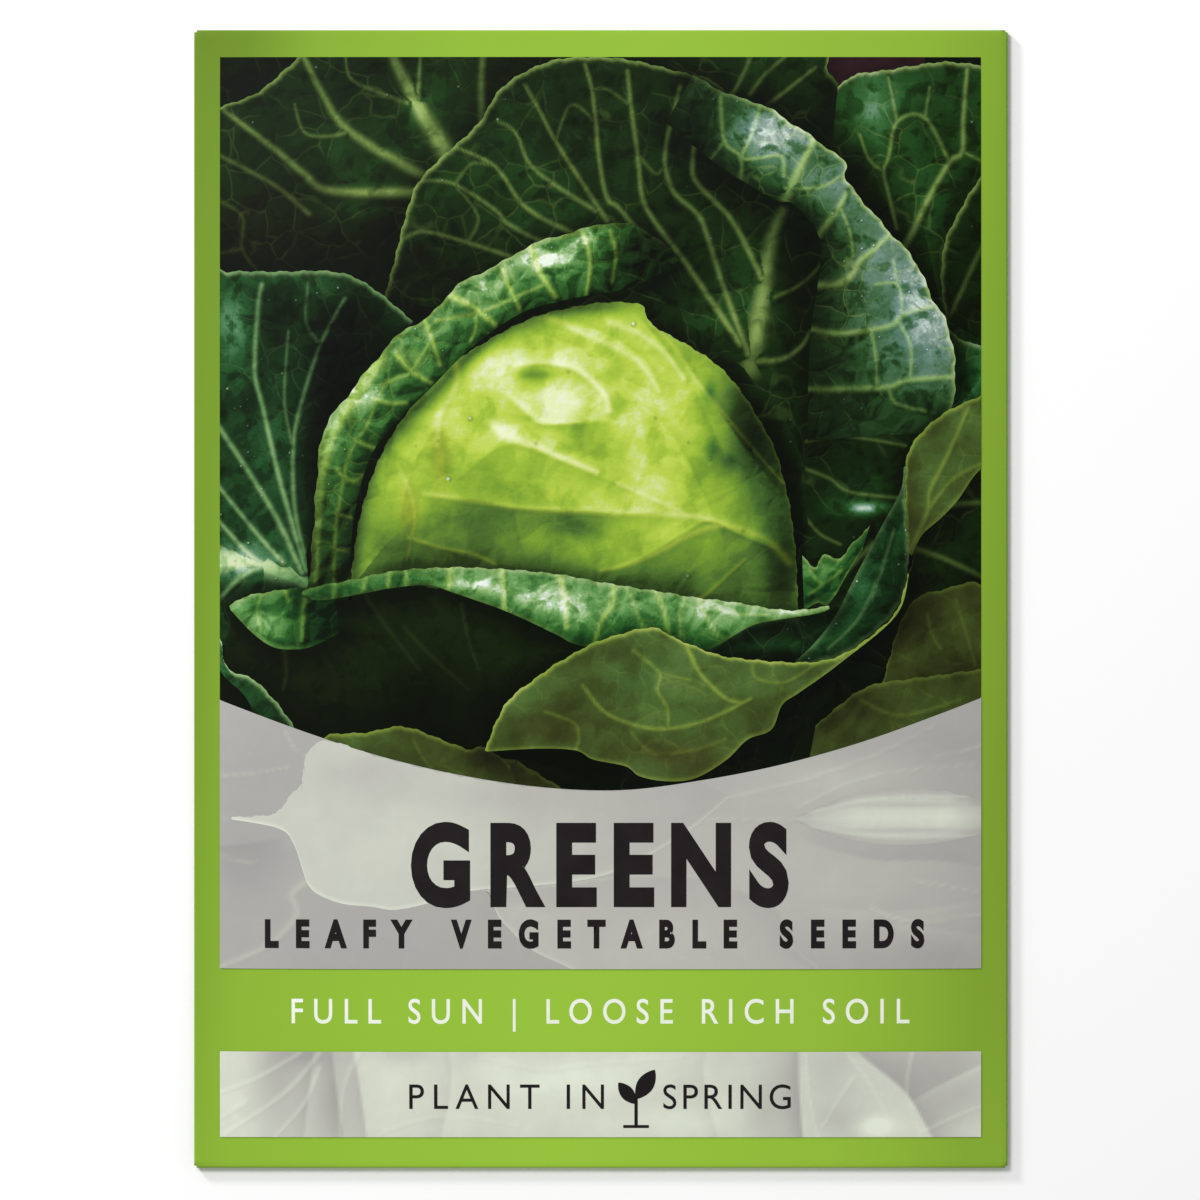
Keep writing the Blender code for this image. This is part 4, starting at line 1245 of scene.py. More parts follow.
plan_leaf(
    "dark_face", 7, shaded_leaf, 0.36, rim=0.0, shade=0.0,
    across=[(0, 1.15), (0.4, 0.7), (1, 0.2)],
    far=[(-38, -4.7), (-36.6, -1.3), (-30.5, 0), (-20.4, 1.4), (-12.3, 0), (-4.2, -4), (1.9, -5.7)],
    near=[(-39.1, -14.3), (-30.5, -16.3), (-20.4, -19.4), (-10.2, -20.4), (1.9, -20.4)],
    spots=[(-30.5, -7, 2.4, 2, 0.06), (-12, -4, 5, 4, 0.04), (-35, -9, 4, 3, -0.06)],
    veins=[
        (0.6, 0.3, 0.5, [(-23.8, 0.4), (-21.6, -2.9), (-18.3, -7.2)]),
        (0.6, 0.3, 0.45, [(-19.8, -2.9), (-17.3, -5.6), (-13.3, -9.2)]),
        (0.6, 0.3, 0.5, [(-14.1, -0.5), (-13.3, -4.3), (-12.3, -7.2)]),
        (0.9, 0.4, 0.6, [(-32, -5.2), (-31.8, -7.4), (-32.1, -9.2)]),
    ],
)
plan_leaf(
    "shadow_leaf", 1, deep_leaf, 0.27, rim=0.4, shade=0.4,
    far=[(30.3, -0.1), (31.5, 4), (33.3, 10), (39.4, 14)],
    near=[(30.8, -12.3), (39.4, -4)],
    spots=[(36, 3.6, 3, 2, 0.05)],
    veins=[
        (0.7, 0.5, 0.7, [(31.5, 5.2), (34.9, 4), (38.9, 2.1)]),
        (0.9, 0.7, 0.7, [(34.9, 9.5), (38.9, 9.8)]),
    ],
)
print("veins so far:", veins_drawn())

# %% Leaves in the lower corners
plan_leaf(
    "lower_right_leaf", 2, olive_leaf, 0.36, rim=0.35, shade=0.5,
    far=[(28.3, -9.2), (29.6, -4.3), (30.8, -1.3), (32.2, 0.3), (34.4, 0.9), (37.4, 1.7), (39.4, 1.1)],
    near=[(29.6, -14.3), (33.3, -15.3), (39.4, -15.3)],
    veins=[
        (0.5, 0.4, 0.4, [(33, -1.5), (33.5, -3.6), (34.4, -5.1)]),
        (0.5, 0.4, 0.3, [(35.9, -0.1), (37.2, -4.2), (37.9, -6.7)]),
    ],
)
plan_leaf(
    "lowest_right_leaf", 3, olive_leaf, 0.36, rim=0.35, shade=0.4,
    far=[(21.7, -12.8), (25.4, -9.7), (28.1, -8.5), (31.1, -8.1), (39.4, -7)],
    near=[(20.2, -20.4), (30.3, -20.4), (39.4, -16.3)],
    spots=[(26, -12, 4, 2, -0.06)],
    veins=[(0.5, 0.4, 0.4, [(26.2, -10.2), (30.3, -11.8), (36.4, -10.2)])],
)
plan_leaf(
    "bottom_lobe", 8, olive_leaf, 0.24, rim=0.3, shade=0.3,
    far=[(-13.3, -15.5), (-11.2, -16), (-8.8, -16.2), (-7.1, -17.2), (-3.1, -19.6)],
    near=[(-13.3, -23.4), (-9.2, -23.4), (-4.2, -23.4)],
)
plan_leaf(
    "bottom_leaf", 9, olive_leaf, 0.4, rim=0.7, shade=0.4,
    across=[(0, 1.05), (0.5, 0.9), (1, 0.8)],
    far=[(-29.3, -15.3), (-28, -14), (-26.7, -13.6), (-23.6, -13.5), (-21, -12.9), (-19, -13.1),
         (-14.8, -14.7), (-13.3, -15.2), (-11.7, -15), (-9.2, -16.8)],
    near=[(-28.7, -22.4), (-18.3, -23.4), (-7.2, -22.4)],
    veins=[(0.5, 0.3, 0.3, [(-18.9, -14.3), (-17.8, -16.3), (-16.3, -17.8)])],
)
plan_leaf(
    "green_wedge", 7, wet_leaf, 0.46, rim=0.2, shade=0.4,
    along=[(0, 0.9), (0.4, 1.1), (1, 0.6)],
    far=[(10.6, -5.1), (13.1, -3.7), (15, -2.7), (17.3, -2.1), (19.7, -1.7), (24.2, -0.5)],
    near=[(11.2, -5.9), (14.6, -6.2), (17.6, -6.4), (20.2, -6.4), (22.4, -4.7), (24.6, -1.3)],
    spots=[(18.5, -6.2, 2, 0.8, -0.5)],
)
print("veins so far:", veins_drawn())

# %% Blades at the right
plan_leaf(
    "inner_blade", 8, wet_leaf, 0.58, rim=0.5, near_rim=0.2, shade=0.6, reach=1.6,
    along=[(0, 0.75), (0.4, 0.85), (0.75, 1.2), (0.9, 1.5), (1, 1.1)],
    far=[(30.8, 13.5), (30.8, 10), (31.1, 5), (30.8, 1.4), (29.8, -1.1), (27.3, -3.6), (24.2, -5.7),
         (20.5, -6.5)],
    near=[(30.6, 13.3), (30.3, 11), (28.7, 8), (27.1, 5), (25.1, 1.1), (23.8, -1.5), (21.7, -4.3),
          (19.5, -6.4)],
    veins=[
        (0.4, 0.3, 0.3, [(28, 2), (26, -2), (23, -5)]),
        (0.4, 0.3, 0.25, [(29.6, 7), (28.4, 3), (27.4, 0)]),
    ],
)
plan_leaf(
    "frill_leaf", 7, front_leaf, 0.44, rim=0.5, near_rim=0.5, shade=0.6, reach=1.2,
    across=[(0, 0.8), (0.3, 1.1), (0.6, 0.6), (1, 0.9)],
    far=[(20.3, 4.4), (21.6, 3.2), (22.6, 4.6), (24, 4), (25.4, 5.6), (27.2, 7.4)],
    near=[(20.5, -1.2), (21.8, -0.4), (22.8, -0.6), (23.8, 0.6), (24.8, 2.4), (26.4, 5)],
    veins=[
        (0.5, 0.4, 0.6, [(21, 3), (22.4, 1.6), (24.4, 3)]),
        (0.5, 0.4, 0.5, [(21, 0.4), (22.6, 1.6)]),
    ],
)
plan_leaf(
    "olive_blade", 8, olive_leaf, 0.44, rim=0.9, near_rim=0.3, shade=0.6, reach=1.8,
    along=[(0, 0.8), (0.4, 1.05), (1, 0.9)],
    far=[(31.1, 4.8), (30.8, 8), (30.8, 13.6), (31.8, 16.1), (34.4, 18.6), (38.2, 20.5), (39.6, 21)],
    near=[(31.4, 4.4), (32.5, 6.5), (34.4, 8.2), (36.1, 10), (37.9, 12.6), (39.6, 14.1)],
    spots=[(32.5, 15, 1.4, 2.5, 0.1), (36.5, 18, 3, 1.5, 0.04)],
    veins=[
        (0.8, 0.5, 0.6, [(31.4, 5.2), (33, 8.8), (33.3, 11), (35.2, 14.8), (37.2, 19.4)]),
        (0.6, 0.4, 0.5, [(33, 8.8), (35.4, 11.9), (38.9, 13.9)]),
    ],
)
print("veins so far:", veins_drawn())

# %% The broad leaf in front
plan_leaf(
    "broad_olive_leaf", 10, olive_leaf, 0.47, rim=1.0, near_rim=0.35, shade=0.8, reach=2.6,
    far=[(-11.7, -15.3), (-9.7, -10.7), (-6.2, -7.7), (-3.1, -5.7), (-0.1, -4.2), (5, -2.9), (8, -4.2),
         (12.1, -5.7), (16.1, -6.2), (20.7, -6.4), (24.2, -5.7), (27.3, -3.7), (29.8, -1.3),
         (31.1, 2.6)],
    near=[(-11.5, -15.4), (-6.2, -15.1), (-2.5, -15.3), (-0.8, -16.2), (2.5, -16.9), (3.9, -17.9),
          (6.6, -18.4), (9.5, -18.1), (12.6, -16.3), (14.8, -14.2), (17.2, -13.2), (18.3, -10.7),
          (20.1, -9.4), (24, -6.6), (29.8, -1.7), (31.1, 2.4)],
    tints=[(8, -16, 5, 1.6, 0.5), (-4, -13, 4, 1.5, 0.25), (4, -8, 3, 2, -0.2)],
    spots=[(7.5, -9, 5, 3, 0.05), (-4, -9, 4, 3, -0.02), (4, -15.5, 6, 2, -0.12),
           (16.5, -11.6, 3.4, 2.6, -0.14), (13, -8, 3.4, 2, 0.06), (-6, -13.5, 4, 1.5, -0.08),
           (3, -5.6, 3, 1.5, -0.08), (22, -6.2, 3, 0.8, 0.1)],
    veins=[
        (0.6, 0.5, 0.75, [(-1.8, -8.8), (0.5, -11.5), (4, -12.9), (7, -13.1), (9.9, -12.5),
                          (12.6, -11.4), (15.1, -10.1)]),
        (0.7, 0.5, 0.85, [(8.8, -5), (9.8, -7.2), (10.9, -8.5), (12.7, -10.1), (14.3, -10.5)]),
        (0.5, 0.4, 0.6, [(3.3, -5.2), (5.9, -7.5), (5.7, -9.2), (6.7, -11), (6.8, -13)]),
        (0.5, 0.4, 0.55, [(-5.6, -11.4), (-2.8, -12.5), (-2.2, -13.9), (-2.5, -15.2)]),
        (0.5, 0.4, 0.35, [(3.1, -13.5), (5.2, -15.5), (9.2, -15.3), (12.6, -14.2)]),
        (0.5, 0.4, 0.4, [(15.3, -6.7), (15.7, -8), (18.6, -8.4), (21.7, -6.6)]),
        (0.4, 0.3, 0.4, [(5.9, -7.5), (9, -8.2)]),
    ],
)
print("planned:", len(picture), "leaves")

# %% [markdown]
# ## The pale panels
# The lower third of the picture is covered by a pale panel with a curved top, and a narrow strip runs
# below the green band. Both carry a washed-out ghost of the same picture: a light leaf with a fine
# edge, a pale gleam at the right, soft grey shade between. The same leaf plans do for that, with an ink
# that only runs from grey to off-white, and without any shade cast between them.

# %% Panels under the lettering
STRIP_BOX = (WINDOW_LEFT, WINDOW_RIGHT, -54.5, -45.8)
PANEL_LEVEL = 12
faded_leaf = leaf_ink(
    "faded_ink",
    [
        (0.00, ink(140, 140, 134)),
        (0.25, ink(166, 164, 162)),
        (0.50, ink(186, 185, 178)),
        (0.75, ink(207, 210, 197)),
        (1.00, ink(236, 243, 224)),
    ],
    [(0.0, ink(160, 160, 152)), (0.5, ink(206, 210, 196)), (1.0, ink(232, 238, 220))],
    net=5.0, puff=0.02, thin=0.05, mottle=0.05, blotch=0.05, blotch_size=6.0, grain=0.02,
)
plan_leaf(
    "pale_panel", PANEL_LEVEL, faded_leaf, 0.36, step=0.35, ripple=0.0, rim=0.0, shade=0.0,
    far=[(-40, -9.6), (-38.4, -10.3), (-30.3, -13.3), (-22.2, -15.9), (-14.1, -17.8), (-6, -19),
         (2.1, -19.3), (10.2, -18.3), (18.3, -16.7), (26.5, -14.4), (34.6, -11.5), (38.5, -10),
         (40, -9.4)],
    near=[(-40, -37.4), (0, -37.4), (40, -37.4)],
    spots=[(-35, -17, 5, 4, -0.06), (-36, -26, 4, 5, -0.08), (-27, -36, 6, 3, -0.02),
           (14, -27, 20, 9, 0.18), (28, -28, 9, 7, 0.06), (34, -36, 6, 3, -0.1),
           (25, -18, 8, 2.4, 0.16), (35, -15, 4, 2, -0.04)],
    folds=[
        (-0.16, 4.0, [(40, -27.5), (34, -26.6), (27, -26.4), (20, -24.4)]),
        (0.12, 2.0, [(22, -31), (28, -31.4), (33, -31.2), (39, -30.2)]),
        (0.1, 1.5, [(27, -33), (31, -32.8), (39, -34)]),
        (-0.12, 3.0, [(-40, -25), (-36, -24.6), (-32, -24)]),
    ],
    veins=[
        (0.4, 0.2, 0.5, [(-38.6, -17.9), (-35.5, -17.7), (-31.5, -17)]),
        (0.5, 0.2, 0.5, [(-38.6, -26), (-36, -26.6), (-34.6, -26.6)]),
        (1.1, 0.5, 0.6, [(-29.8, -28.7), (-31.2, -29.9), (-30.8, -32), (-33.6, -35), (-38.6, -37.3)]),
        (0.4, 0.2, 0.5, [(34, -16), (38.4, -14.9)]),
        (0.5, 0.2, 0.35, [(13, -20), (20, -18.4), (28, -15.6), (34, -12.6)]),
        (0.4, 0.2, 0.35, [(20, -21), (25, -18.6), (30, -17.4), (38, -16.8)]),
        (0.4, 0.2, 0.4, [(31.8, -28.5), (38.4, -29.7)]),
        (0.5, 0.3, 0.5, [(27.3, -31.2), (31.2, -32.6), (38.4, -32)]),
        (0.4, 0.2, 0.5, [(-31.9, -13.4), (-31, -15), (-29.8, -15.9)]),
        (0.2, 0.2, 0.35, [(-38.6, -22.2), (-20, -22.2), (0, -22.2), (20, -22.2), (38.4, -22.2)]),
    ],
)
plan_leaf(
    "pale_leaf", PANEL_LEVEL + 1, faded_leaf, 0.68, rim=0.0, near_rim=0.75, shade=0.0,
    along=[(0, 1), (0.5, 1), (0.7, 0.86), (0.85, 0.7), (1, 0.6)],
    far=[(-37.4, -22.1), (-33.1, -21.7), (-31.6, -20.1), (-30.3, -18.5), (-29.8, -15.9), (-27.8, -14.3),
         (-22.2, -16), (-14.1, -17.9), (-6, -19.1), (2.1, -19.4), (10.2, -18.4)],
    near=[(-37.4, -22.3), (-32.6, -23.2), (-31.1, -24.7), (-30.1, -27.6), (-29.6, -28.9),
          (-28.5, -29.9), (-26.1, -30.8), (-23.1, -31.1), (-20.8, -31.4), (-17.4, -30.7),
          (-14.6, -29.5), (-12.3, -29.4), (0, -28), (8, -24), (13, -20)],
    spots=[(-20, -24, 9, 6, 0.06), (-24, -17.5, 6, 2, -0.1), (-11, -20, 10, 2, -0.1)],
)
plan_leaf(
    "pale_lower_leaf", PANEL_LEVEL + 1, faded_leaf, 0.55, rim=0.3, near_rim=0.4, shade=0.0,
    across=[(0, 0.8), (0.5, 1), (1, 1)], along=[(0, 1), (0.6, 1), (1, 0.8)],
    far=[(-12.3, -29.4), (-6, -29), (2, -28), (10, -28), (17.5, -30.9), (18.5, -34.1), (20.1, -35.6),
         (22.2, -37.4), (24, -38.5)],
    near=[(-11.3, -29.6), (-10.4, -32), (-9.1, -33.5), (-7.1, -35.4), (-3.4, -37.2), (-1, -38.5),
          (8, -38.5), (16, -38.5), (22, -38.6)],
)
plan_leaf(
    "pale_gleam", PANEL_LEVEL + 1, faded_leaf, 0.68, step=0.25, rim=0.1, near_rim=0.1, shade=0.0,
    across=[(0, 0.62), (0.2, 1.05), (0.5, 1.2), (0.8, 1.05), (1, 0.62)],
    along=[(0, 0.7), (0.3, 1), (0.8, 1.05), (1, 0.7)],
    far=[(19.5, -22.2), (22.5, -20.8), (26, -19.6), (30, -19.2), (34.5, -19.4), (39.5, -20.6)],
    near=[(19.5, -22.3), (22.5, -23.6), (26, -24.5), (30, -24.9), (34.5, -24.6), (39.5, -23.6)],
    spots=[(31, -20.8, 7, 0.25, -0.16), (31, -23.4, 7, 0.25, -0.16)],
    veins=[
        (0.5, 0.3, 0.6, [(21, -21.6), (28, -20.2), (38, -20)]),
        (0.5, 0.3, 0.6, [(21, -23), (28, -24), (38, -24)]),
    ],
)
print("planned with the panel:", len(picture))

# %% [markdown]
# The strip shows bright crumpled leaves in its middle, a folded grey shape on each side, and pale rays
# at its left end.

# %% Bottom strip
plan_leaf(
    "pale_strip", PANEL_LEVEL, faded_leaf, 0.86, limits=STRIP_BOX, step=0.25, ripple=0.0, rim=0.0,
    shade=0.0,
    far=[(-39, -45), (39, -45)],
    near=[(-39, -55.2), (39, -55.2)],
    spots=[(-37.4, -51, 3.5, 4, 0.02), (-33, -48, 2.4, 6, -0.28), (-27.5, -51, 2.5, 6, -0.2),
           (-30, -46, 3, 1.5, -0.3), (24, -50, 4, 7, -0.12), (36, -48, 5, 4, -0.2),
           (37.5, -54, 3, 1.6, 0.1), (-4, -48.5, 9, 2, 0.14), (8, -53, 10, 1.6, 0.1),
           (-14, -52, 5, 2, 0.06), (28, -53.4, 1.6, 0.9, 0.35), (-20, -46, 3, 1, -0.14),
           (23.5, -52.6, 2, 1.2, -0.12), (16.5, -52, 1.5, 3, -0.1)],
    folds=[
        (-0.5, 2.6, [(20.1, -43), (20.2, -50), (20.9, -58)]),
        (-0.5, 5.0, [(35.5, -58), (33.4, -54.5), (30.7, -50), (26, -46), (24, -43)]),
        (0.3, 1.4, [(31, -51), (34, -49.2), (41, -45.8)]),
        (-0.24, 2.0, [(-28.6, -43), (-29.4, -50), (-30.4, -58)]),
        (-0.34, 1.6, [(-27.4, -43), (-26.6, -50), (-25.6, -58)]),
        (-0.34, 1.6, [(-25.4, -43), (-24.2, -50), (-23.2, -58)]),
        (-0.14, 1.4, [(-16, -43), (-15, -49), (-17, -58)]),
        (-0.12, 2.0, [(12, -43), (10.5, -48), (13, -58)]),
    ],
    veins=[
        (0.8, 0.3, 0.8, [(-28.5, -46), (-32, -50), (-38, -54.2)]),
        (0.7, 0.3, 0.8, [(-30.5, -46), (-35, -48.6), (-38.5, -50)]),
        (0.7, 0.3, 0.8, [(-28.5, -47.5), (-30, -51), (-33, -54.5)]),
        (0.7, 0.3, 0.7, [(-36, -51), (-38.5, -52.6)]),
        (0.9, 0.3, 0.6, [(-24.5, -46), (-26, -49.4), (-26.5, -54.5)]),
        (0.5, 0.3, 0.8, [(20.8, -46), (21, -49.5), (22, -54.5)]),
        (0.5, 0.3, 0.7, [(25.5, -48.5), (24.2, -50.5), (22.4, -53.5)]),
        (0.6, 0.3, 0.7, [(25, -46), (27.5, -49.5), (30, -54.5)]),
        (0.6, 0.3, 0.7, [(31.5, -46), (31, -50), (32.5, -54.5)]),
        (0.5, 0.3, 0.6, [(32.5, -54), (35.5, -52.6), (38.4, -51.4)]),
        (0.6, 0.3, 0.5, [(-12, -46.4), (-6, -47.6), (0, -47), (8, -46.4)]),
        (0.5, 0.3, 0.5, [(-22, -54), (-16, -52.4), (-8, -53.4)]),
    ],
)
print("planned in all:", len(picture))

# %% [markdown]
# Now every leaf is known, so they can be made. Each one asks which leaves lie above it and darkens
# itself beside their edges.

# %% Make the leaves
for plan in sorted(picture, key=lambda plan: plan["level"]):
    print(plan["name"], make_leaf(plan), "points")

# %% [markdown]
# ## Lettering
# Letters are flat shapes cut out of ink. Blender's own font gives their outlines, made bolder by an
# offset and stretched to the size they need. A flat letter would sink into the swollen front, so each
# line of text is cut into small tiles and every corner is put down on the paper.

# %% Letters on paper
TILE = 1.5
LETTER_LEVEL = PANEL_LEVEL + 5
CORNER_STEPS = 6


def flat_text(text, weight, spacing):
    """The text as a flat mesh, in the font's own units."""
    curve = bpy.data.curves.new("letters", "FONT")
    curve.body = text
    curve.offset = weight
    curve.space_character = spacing
    curve.resolution_u = CORNER_STEPS
    holder = bpy.data.objects.new("letters", curve)
    bpy.context.scene.collection.objects.link(holder)
    evaluated = holder.evaluated_get(bpy.context.evaluated_depsgraph_get())
    mesh = bpy.data.meshes.new_from_object(evaluated)
    bpy.data.objects.remove(holder)
    return mesh


def size_of(mesh):
    points = np.array([vertex.co[:2] for vertex in mesh.vertices])
    return points.min(axis=0), points.max(axis=0)


def tile(bm, axis, start, end):
    """Cuts the mesh across at every TILE, so that it can bend."""
    for cut in np.arange(math.ceil(start / TILE) * TILE, end, TILE):
        centre = Vector([cut if k == axis else 0.0 for k in range(3)])
        normal = Vector([1.0 if k == axis else 0.0 for k in range(3)])
        geometry = [*bm.verts, *bm.edges, *bm.faces]
        bmesh.ops.bisect_plane(bm, geom=geometry, plane_co=centre, plane_no=normal)


def lay_on_front(bm, level):
    for axis in (0, 1):
        places = [vertex.co[axis] for vertex in bm.verts]
        tile(bm, axis, min(places), max(places))
    for vertex in bm.verts:
        x, y = vertex.co.x * MM, vertex.co.y * MM
        vertex.co = (x, y, front_top(x, y) + level * INK_LIFT)
    face_towards(bm, 1)


def lay_on_back(bm, level):
    for vertex in bm.verts:
        vertex.co = (vertex.co.x * MM, vertex.co.y * MM, back_z - PAPER / 2 - level * INK_LIFT)
    face_towards(bm, -1)


def face_towards(bm, up):
    """Turns every face up (1) or down (-1)."""
    for face in bm.faces:
        face.normal_update()
        if face.normal.z * up < 0:
            face.normal_flip()


def letter_line(name, text, box, weight, material, squeeze=1.0, level=LETTER_LEVEL):
    """A line of capitals that fills box = (left, right, baseline, top) in mm."""
    left, right, baseline, top = box
    tight = flat_text(text, weight, 1.0)
    loose = flat_text(text, weight, 2.0)
    (start, _), (end, high_edge) = size_of(tight)
    scale_y = (top - baseline) / high_edge
    scale_x = scale_y * squeeze
    (loose_start, _), (loose_end, _) = size_of(loose)
    wanted = (right - left) / scale_x
    gain = (loose_end - loose_start) - (end - start)
    spacing = 1.0 + (wanted - (end - start)) / gain
    mesh = flat_text(text, weight, spacing)
    (start, _), (end, _) = size_of(mesh)
    bm = bmesh.new()
    bm.from_mesh(mesh)
    for vertex in bm.verts:
        share = (vertex.co.x - start) / (end - start)
        vertex.co = (left + (right - left) * share, baseline + vertex.co.y * scale_y, 0)
    lay_on_front(bm, level)
    bm.to_mesh(mesh)
    bm.free()
    mesh.name = name
    mesh.materials.clear()
    add_piece(name, mesh, material)
    return round(spacing, 2)


def plain_ink(name, dark, light):
    paint = Paint(name, Specular_IOR_Level=PRINT_SHINE)
    place = paint.place()
    cloud = paint.noise(place, 3.0, 3)
    return coated_surface(paint, place, paint.mix(dark, light, paint.step(cloud, 0.3, 0.7)), 0.38)


black_ink = plain_ink("black_letter_ink", ink(33, 29, 30), ink(38, 34, 35))
white_ink = plain_ink("white_letter_ink", ink(240, 247, 226), ink(248, 252, 240))
BAND_LEVEL = 1
front_lines = [
    ("title", "GREENS", (-19.2, 18.95, -30.6, -22.5), 0.047, black_ink, 0.76),
    ("subtitle", "LEAFY VEGETABLE SEEDS", (-34, 32.7, -35.1, -32.35), 0.055, black_ink, 0.74),
    ("band_text", "FULL SUN | LOOSE RICH SOIL", (-31.3, 31.2, -42.9, -40.4), 0.008, white_ink, 0.85,
     BAND_LEVEL),
]
for line in front_lines:
    print(line[0], "is spaced by", letter_line(*line))

# %% [markdown]
# ## A small mark
# A plain sprout stands in the middle of the strip: a stem and two leaves. Its leaves are arcs between
# two points, filled as a strip between an upper and a lower line.

# %% Sprout
def leaf_outline(root, tip, fatness, count=13):
    """Two arcs from root to tip, as the two sides of a pointed leaf."""
    root, tip = np.array(root, dtype=float), np.array(tip, dtype=float)
    along = tip - root
    side = np.array([-along[1], along[0]])
    t = np.linspace(0, 1, count)[:, None]
    bulge = side * fatness * np.sin(math.pi * t) ** 0.8
    return root + along * t + bulge, root + along * t - bulge


def strip_piece(name, shapes, material, level, lay=lay_on_front):
    """Several strips between two lines, as one piece laid on the paper."""
    bm = bmesh.new()
    for upper, lower in shapes:
        tops = [bm.verts.new((x, y, 0)) for x, y in upper]
        bottoms = [bm.verts.new((x, y, 0)) for x, y in lower]
        for a, b, c, d in zip(bottoms, bottoms[1:], tops[1:], tops):
            bm.faces.new((a, b, c, d))
    bmesh.ops.remove_doubles(bm, verts=bm.verts, dist=1e-4)
    lay(bm, level)
    mesh = bpy.data.meshes.new(name)
    bm.to_mesh(mesh)
    bm.free()
    return add_piece(name, mesh, material)


def bar(start, end, thick):
    """The two long sides of a straight bar."""
    start, end = np.array(start, dtype=float), np.array(end, dtype=float)
    along = (end - start) / np.hypot(*(end - start))
    side = np.array([-along[1], along[0]]) * thick / 2
    return np.stack([start + side, end + side]), np.stack([start - side, end - side])


def sprout_shapes(x, y, size=1.0):
    """Two leaves, a stem and a line of ground; x and y are where the leaves meet."""
    return [
        leaf_outline((x, y - 0.4 * size), (x + 1.9 * size, y + 2.6 * size), 0.24),
        leaf_outline((x, y - 0.9 * size), (x - 1.8 * size, y + 1.3 * size), 0.24),
        bar((x, y - 3.2 * size), (x, y - 0.3 * size), 0.34 * size),
        bar((x - 1.3 * size, y - 3.2 * size), (x + 1.3 * size, y - 3.2 * size), 0.3 * size),
    ]


strip_piece("sprout", sprout_shapes(3.55, -50.2), black_ink, LETTER_LEVEL)
strip_lines = [
    ("strip_text_left", "PLANT IN", (-19.4, 0.3, -51.6, -49.1), 0.0, black_ink, 0.95),
    ("strip_text_right", "SPRING", (6.3, 19.2, -51.6, -49.1), 0.0, black_ink, 0.95),
]
for line in strip_lines:
    print(line[0], "is spaced by", letter_line(*line))

# %% [markdown]
# ## The back
# The back panel shows between the folded flaps. Nothing is known of its print, so it is kept plain: a
# pale field with ruled lines for notes, and the same sprout above them. It faces down, so its faces
# are turned down too.

# %% Print on the back
NOTES = (-36.0, 26.0, -38.5, 38.5)
CORNER = 2.5
LINE_GAP, LINE_COUNT, LINE_START = 7.0, 8, 7
LINE_INSET, LINE_THICK = 4, 0.18
FRAME_INSET, FRAME_THICK = 1.2, 0.25


def rounded_field(left, right, bottom, top, corner, count=9):
    """The upper and lower line of a rectangle with round corners."""
    turn = np.linspace(0, math.pi / 2, count)
    dip = corner * (1 - np.sin(turn))
    reach = corner * (1 - np.cos(turn))
    x = np.concatenate([left + reach, (right - reach)[::-1]])
    inset = np.concatenate([dip, dip[::-1]])
    return np.stack([x, top - inset], axis=1), np.stack([x, bottom + inset], axis=1)


pale_ink = plain_ink("pale_note_ink", ink(226, 230, 212), ink(234, 237, 222))
green_ink = plain_ink("green_line_ink", ink(104, 140, 46), ink(112, 148, 50))
left, right, bottom, top = NOTES
strip_piece("back_field", [rounded_field(*NOTES, CORNER)], pale_ink, 1, lay_on_back)
rims = bottom + FRAME_INSET, top - FRAME_INSET
frame_bars = [bar((left + CORNER, y), (right - CORNER, y), FRAME_THICK) for y in rims]
heights = bottom + LINE_START + LINE_GAP * np.arange(LINE_COUNT)
note_lines = [bar((left + LINE_INSET, y), (right - LINE_INSET, y), LINE_THICK) for y in heights]
strip_piece("back_lines", frame_bars + note_lines, green_ink, 2, lay_on_back)
strip_piece("back_sprout", sprout_shapes((left + right) / 2, 28.5, 1.5), green_ink, 2, lay_on_back)
print("back field, mm:", right - left, "x", top - bottom)

# %% [markdown]
# ## Inside the packet
# The seeds and the glue come straight from the model. Each seed is a small brown ball with a mottled,
# slightly shiny coat, and the glue is a thin cream-coloured film.

# %% Seeds and glue
def seed_coat():
    paint = Paint("seed_coat", Specular_IOR_Level=0.4)
    place = paint.place()
    mottle = paint.noise(place, 0.5, 4)
    pits = paint.cells(place, 0.22)
    colour = paint.mix(ink(62, 34, 22), ink(124, 82, 52), paint.step(mottle, 0.35, 0.7))
    bump = paint.bump(pits, 0.4, 0.03 * MM)
    return paint.finish(Base_Color=colour, Roughness=0.42 + mottle * 0.25, Normal=bump)


def dried_glue():
    paint = Paint("dried_glue", Specular_IOR_Level=0.5)
    place = paint.place()
    streaks = paint.noise(place * (1.0, 0.2, 1.0), 1.2, 3)
    colour = paint.mix(ink(226, 214, 182), ink(240, 234, 212), streaks)
    return paint.finish(Base_Color=colour, Roughness=0.25 + streaks * 0.3)


coat, glue = seed_coat(), dried_glue()
for name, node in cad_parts.items():
    if name.startswith("seed_") or name.endswith("_glue"):
        node.data.materials.clear()
        node.data.materials.append(coat if name.startswith("seed_") else glue)
print("seeds:", sum(name.startswith("seed_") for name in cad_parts))

# %% [markdown]
# ## Floor, light and camera
# The packet lies on a white table in a bright room. A soft light from high at the upper left gives the
# narrow shadow along the right and lower edges, and a lower, smaller one from the same side stretches
# it. The room's own white light fills the rest. The camera looks straight down with a long lens, so
# that the sides don't show.

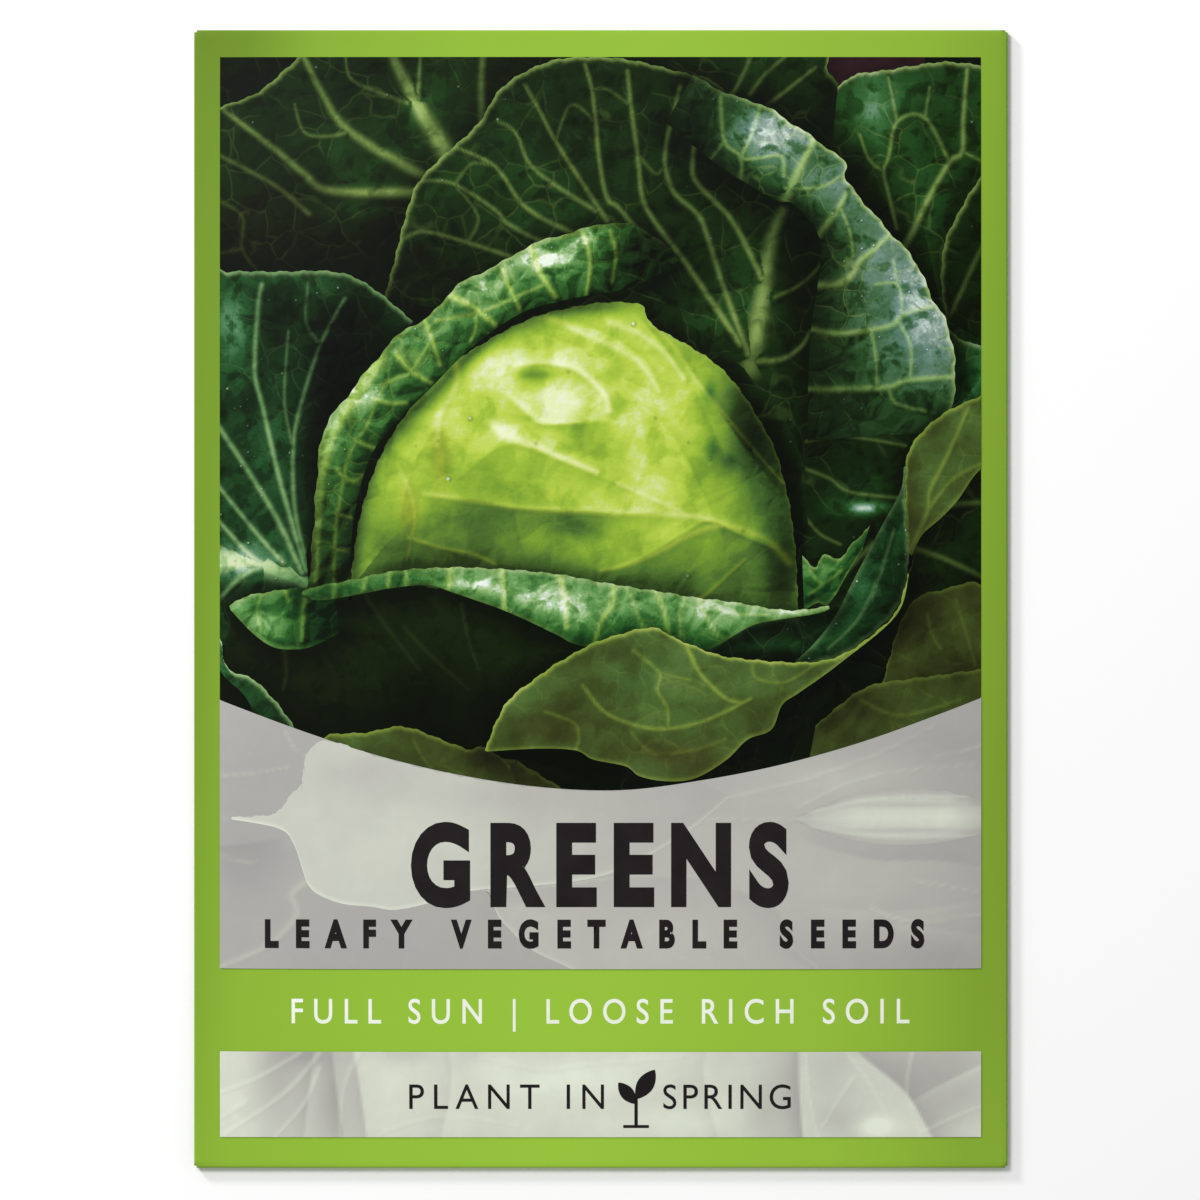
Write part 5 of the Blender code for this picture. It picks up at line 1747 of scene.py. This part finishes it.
# %% Floor
def table_top():
    paint = Paint("white_table", Specular_IOR_Level=0.0, Roughness=0.9)
    place = paint.place()
    cloud = paint.noise(place, 60.0, 2)
    return paint.finish(Base_Color=paint.mix((0.86, 0.86, 0.86), (0.87, 0.87, 0.87), cloud))


FLOOR_HALF = 3.0
FLOOR_GAP = 0.02 * MM  # keeps the table clear of the paper that lies on it
floor_mesh = bpy.data.meshes.new("table_top")
corners = [(x * FLOOR_HALF, y * FLOOR_HALF, -FLOOR_GAP) for x, y in ((-1, -1), (1, -1), (1, 1), (-1, 1))]
floor_mesh.from_pydata(corners, [], [(0, 1, 2, 3)])
floor_mesh.materials.append(table_top())
floor = bpy.data.objects.new("table_top", floor_mesh)
bpy.context.scene.collection.objects.link(floor)

# %% Light
ROOM_STRENGTH = 0.472
LAMPS = [  # name, place in m, size in m, power in W
    ("key_light", (-0.27, 0.30, 0.68), 0.22, 3.65),
    ("low_light", (-0.46, 0.46, 0.34), 0.12, 2.55),
]
scene = bpy.context.scene
scene.view_settings.view_transform = "Standard"
scene.world = bpy.data.worlds.new("bright_room")
scene.world.use_nodes = True
background = scene.world.node_tree.nodes["Background"]
background.inputs["Color"].default_value = (1.0, 1.0, 1.0, 1.0)
background.inputs["Strength"].default_value = ROOM_STRENGTH


def area_light(name, place, size, power):
    lamp = bpy.data.lights.new(name, "AREA")
    lamp.energy = power
    lamp.size = size
    light = bpy.data.objects.new(name, lamp)
    light.location = place
    light.rotation_mode = "QUATERNION"
    light.rotation_quaternion = (-Vector(place)).to_track_quat("-Z", "Y")
    scene.collection.objects.link(light)


for lamp in LAMPS:
    area_light(*lamp)
print("lights:", [light.name for light in bpy.data.lights])

# %% Camera
LENS, SENSOR = 200.0, 36.0  # mm
FRAME_WIDTH = 0.12162  # m, what the camera sees across at the front's edge
OFF_CENTRE = -0.0001
view = bpy.data.cameras.new("view_from_above")
view.lens = LENS
view.sensor_width = SENSOR
camera = bpy.data.objects.new("view_from_above", view)
camera.location = (OFF_CENTRE, OFF_CENTRE, edge_top + FRAME_WIDTH * LENS / SENSOR)
camera.rotation_euler = (0.0, 0.0, 0.0)
scene.collection.objects.link(camera)
scene.camera = camera
print("camera height, m:", round(camera.location.z, 4))

# %% [markdown]
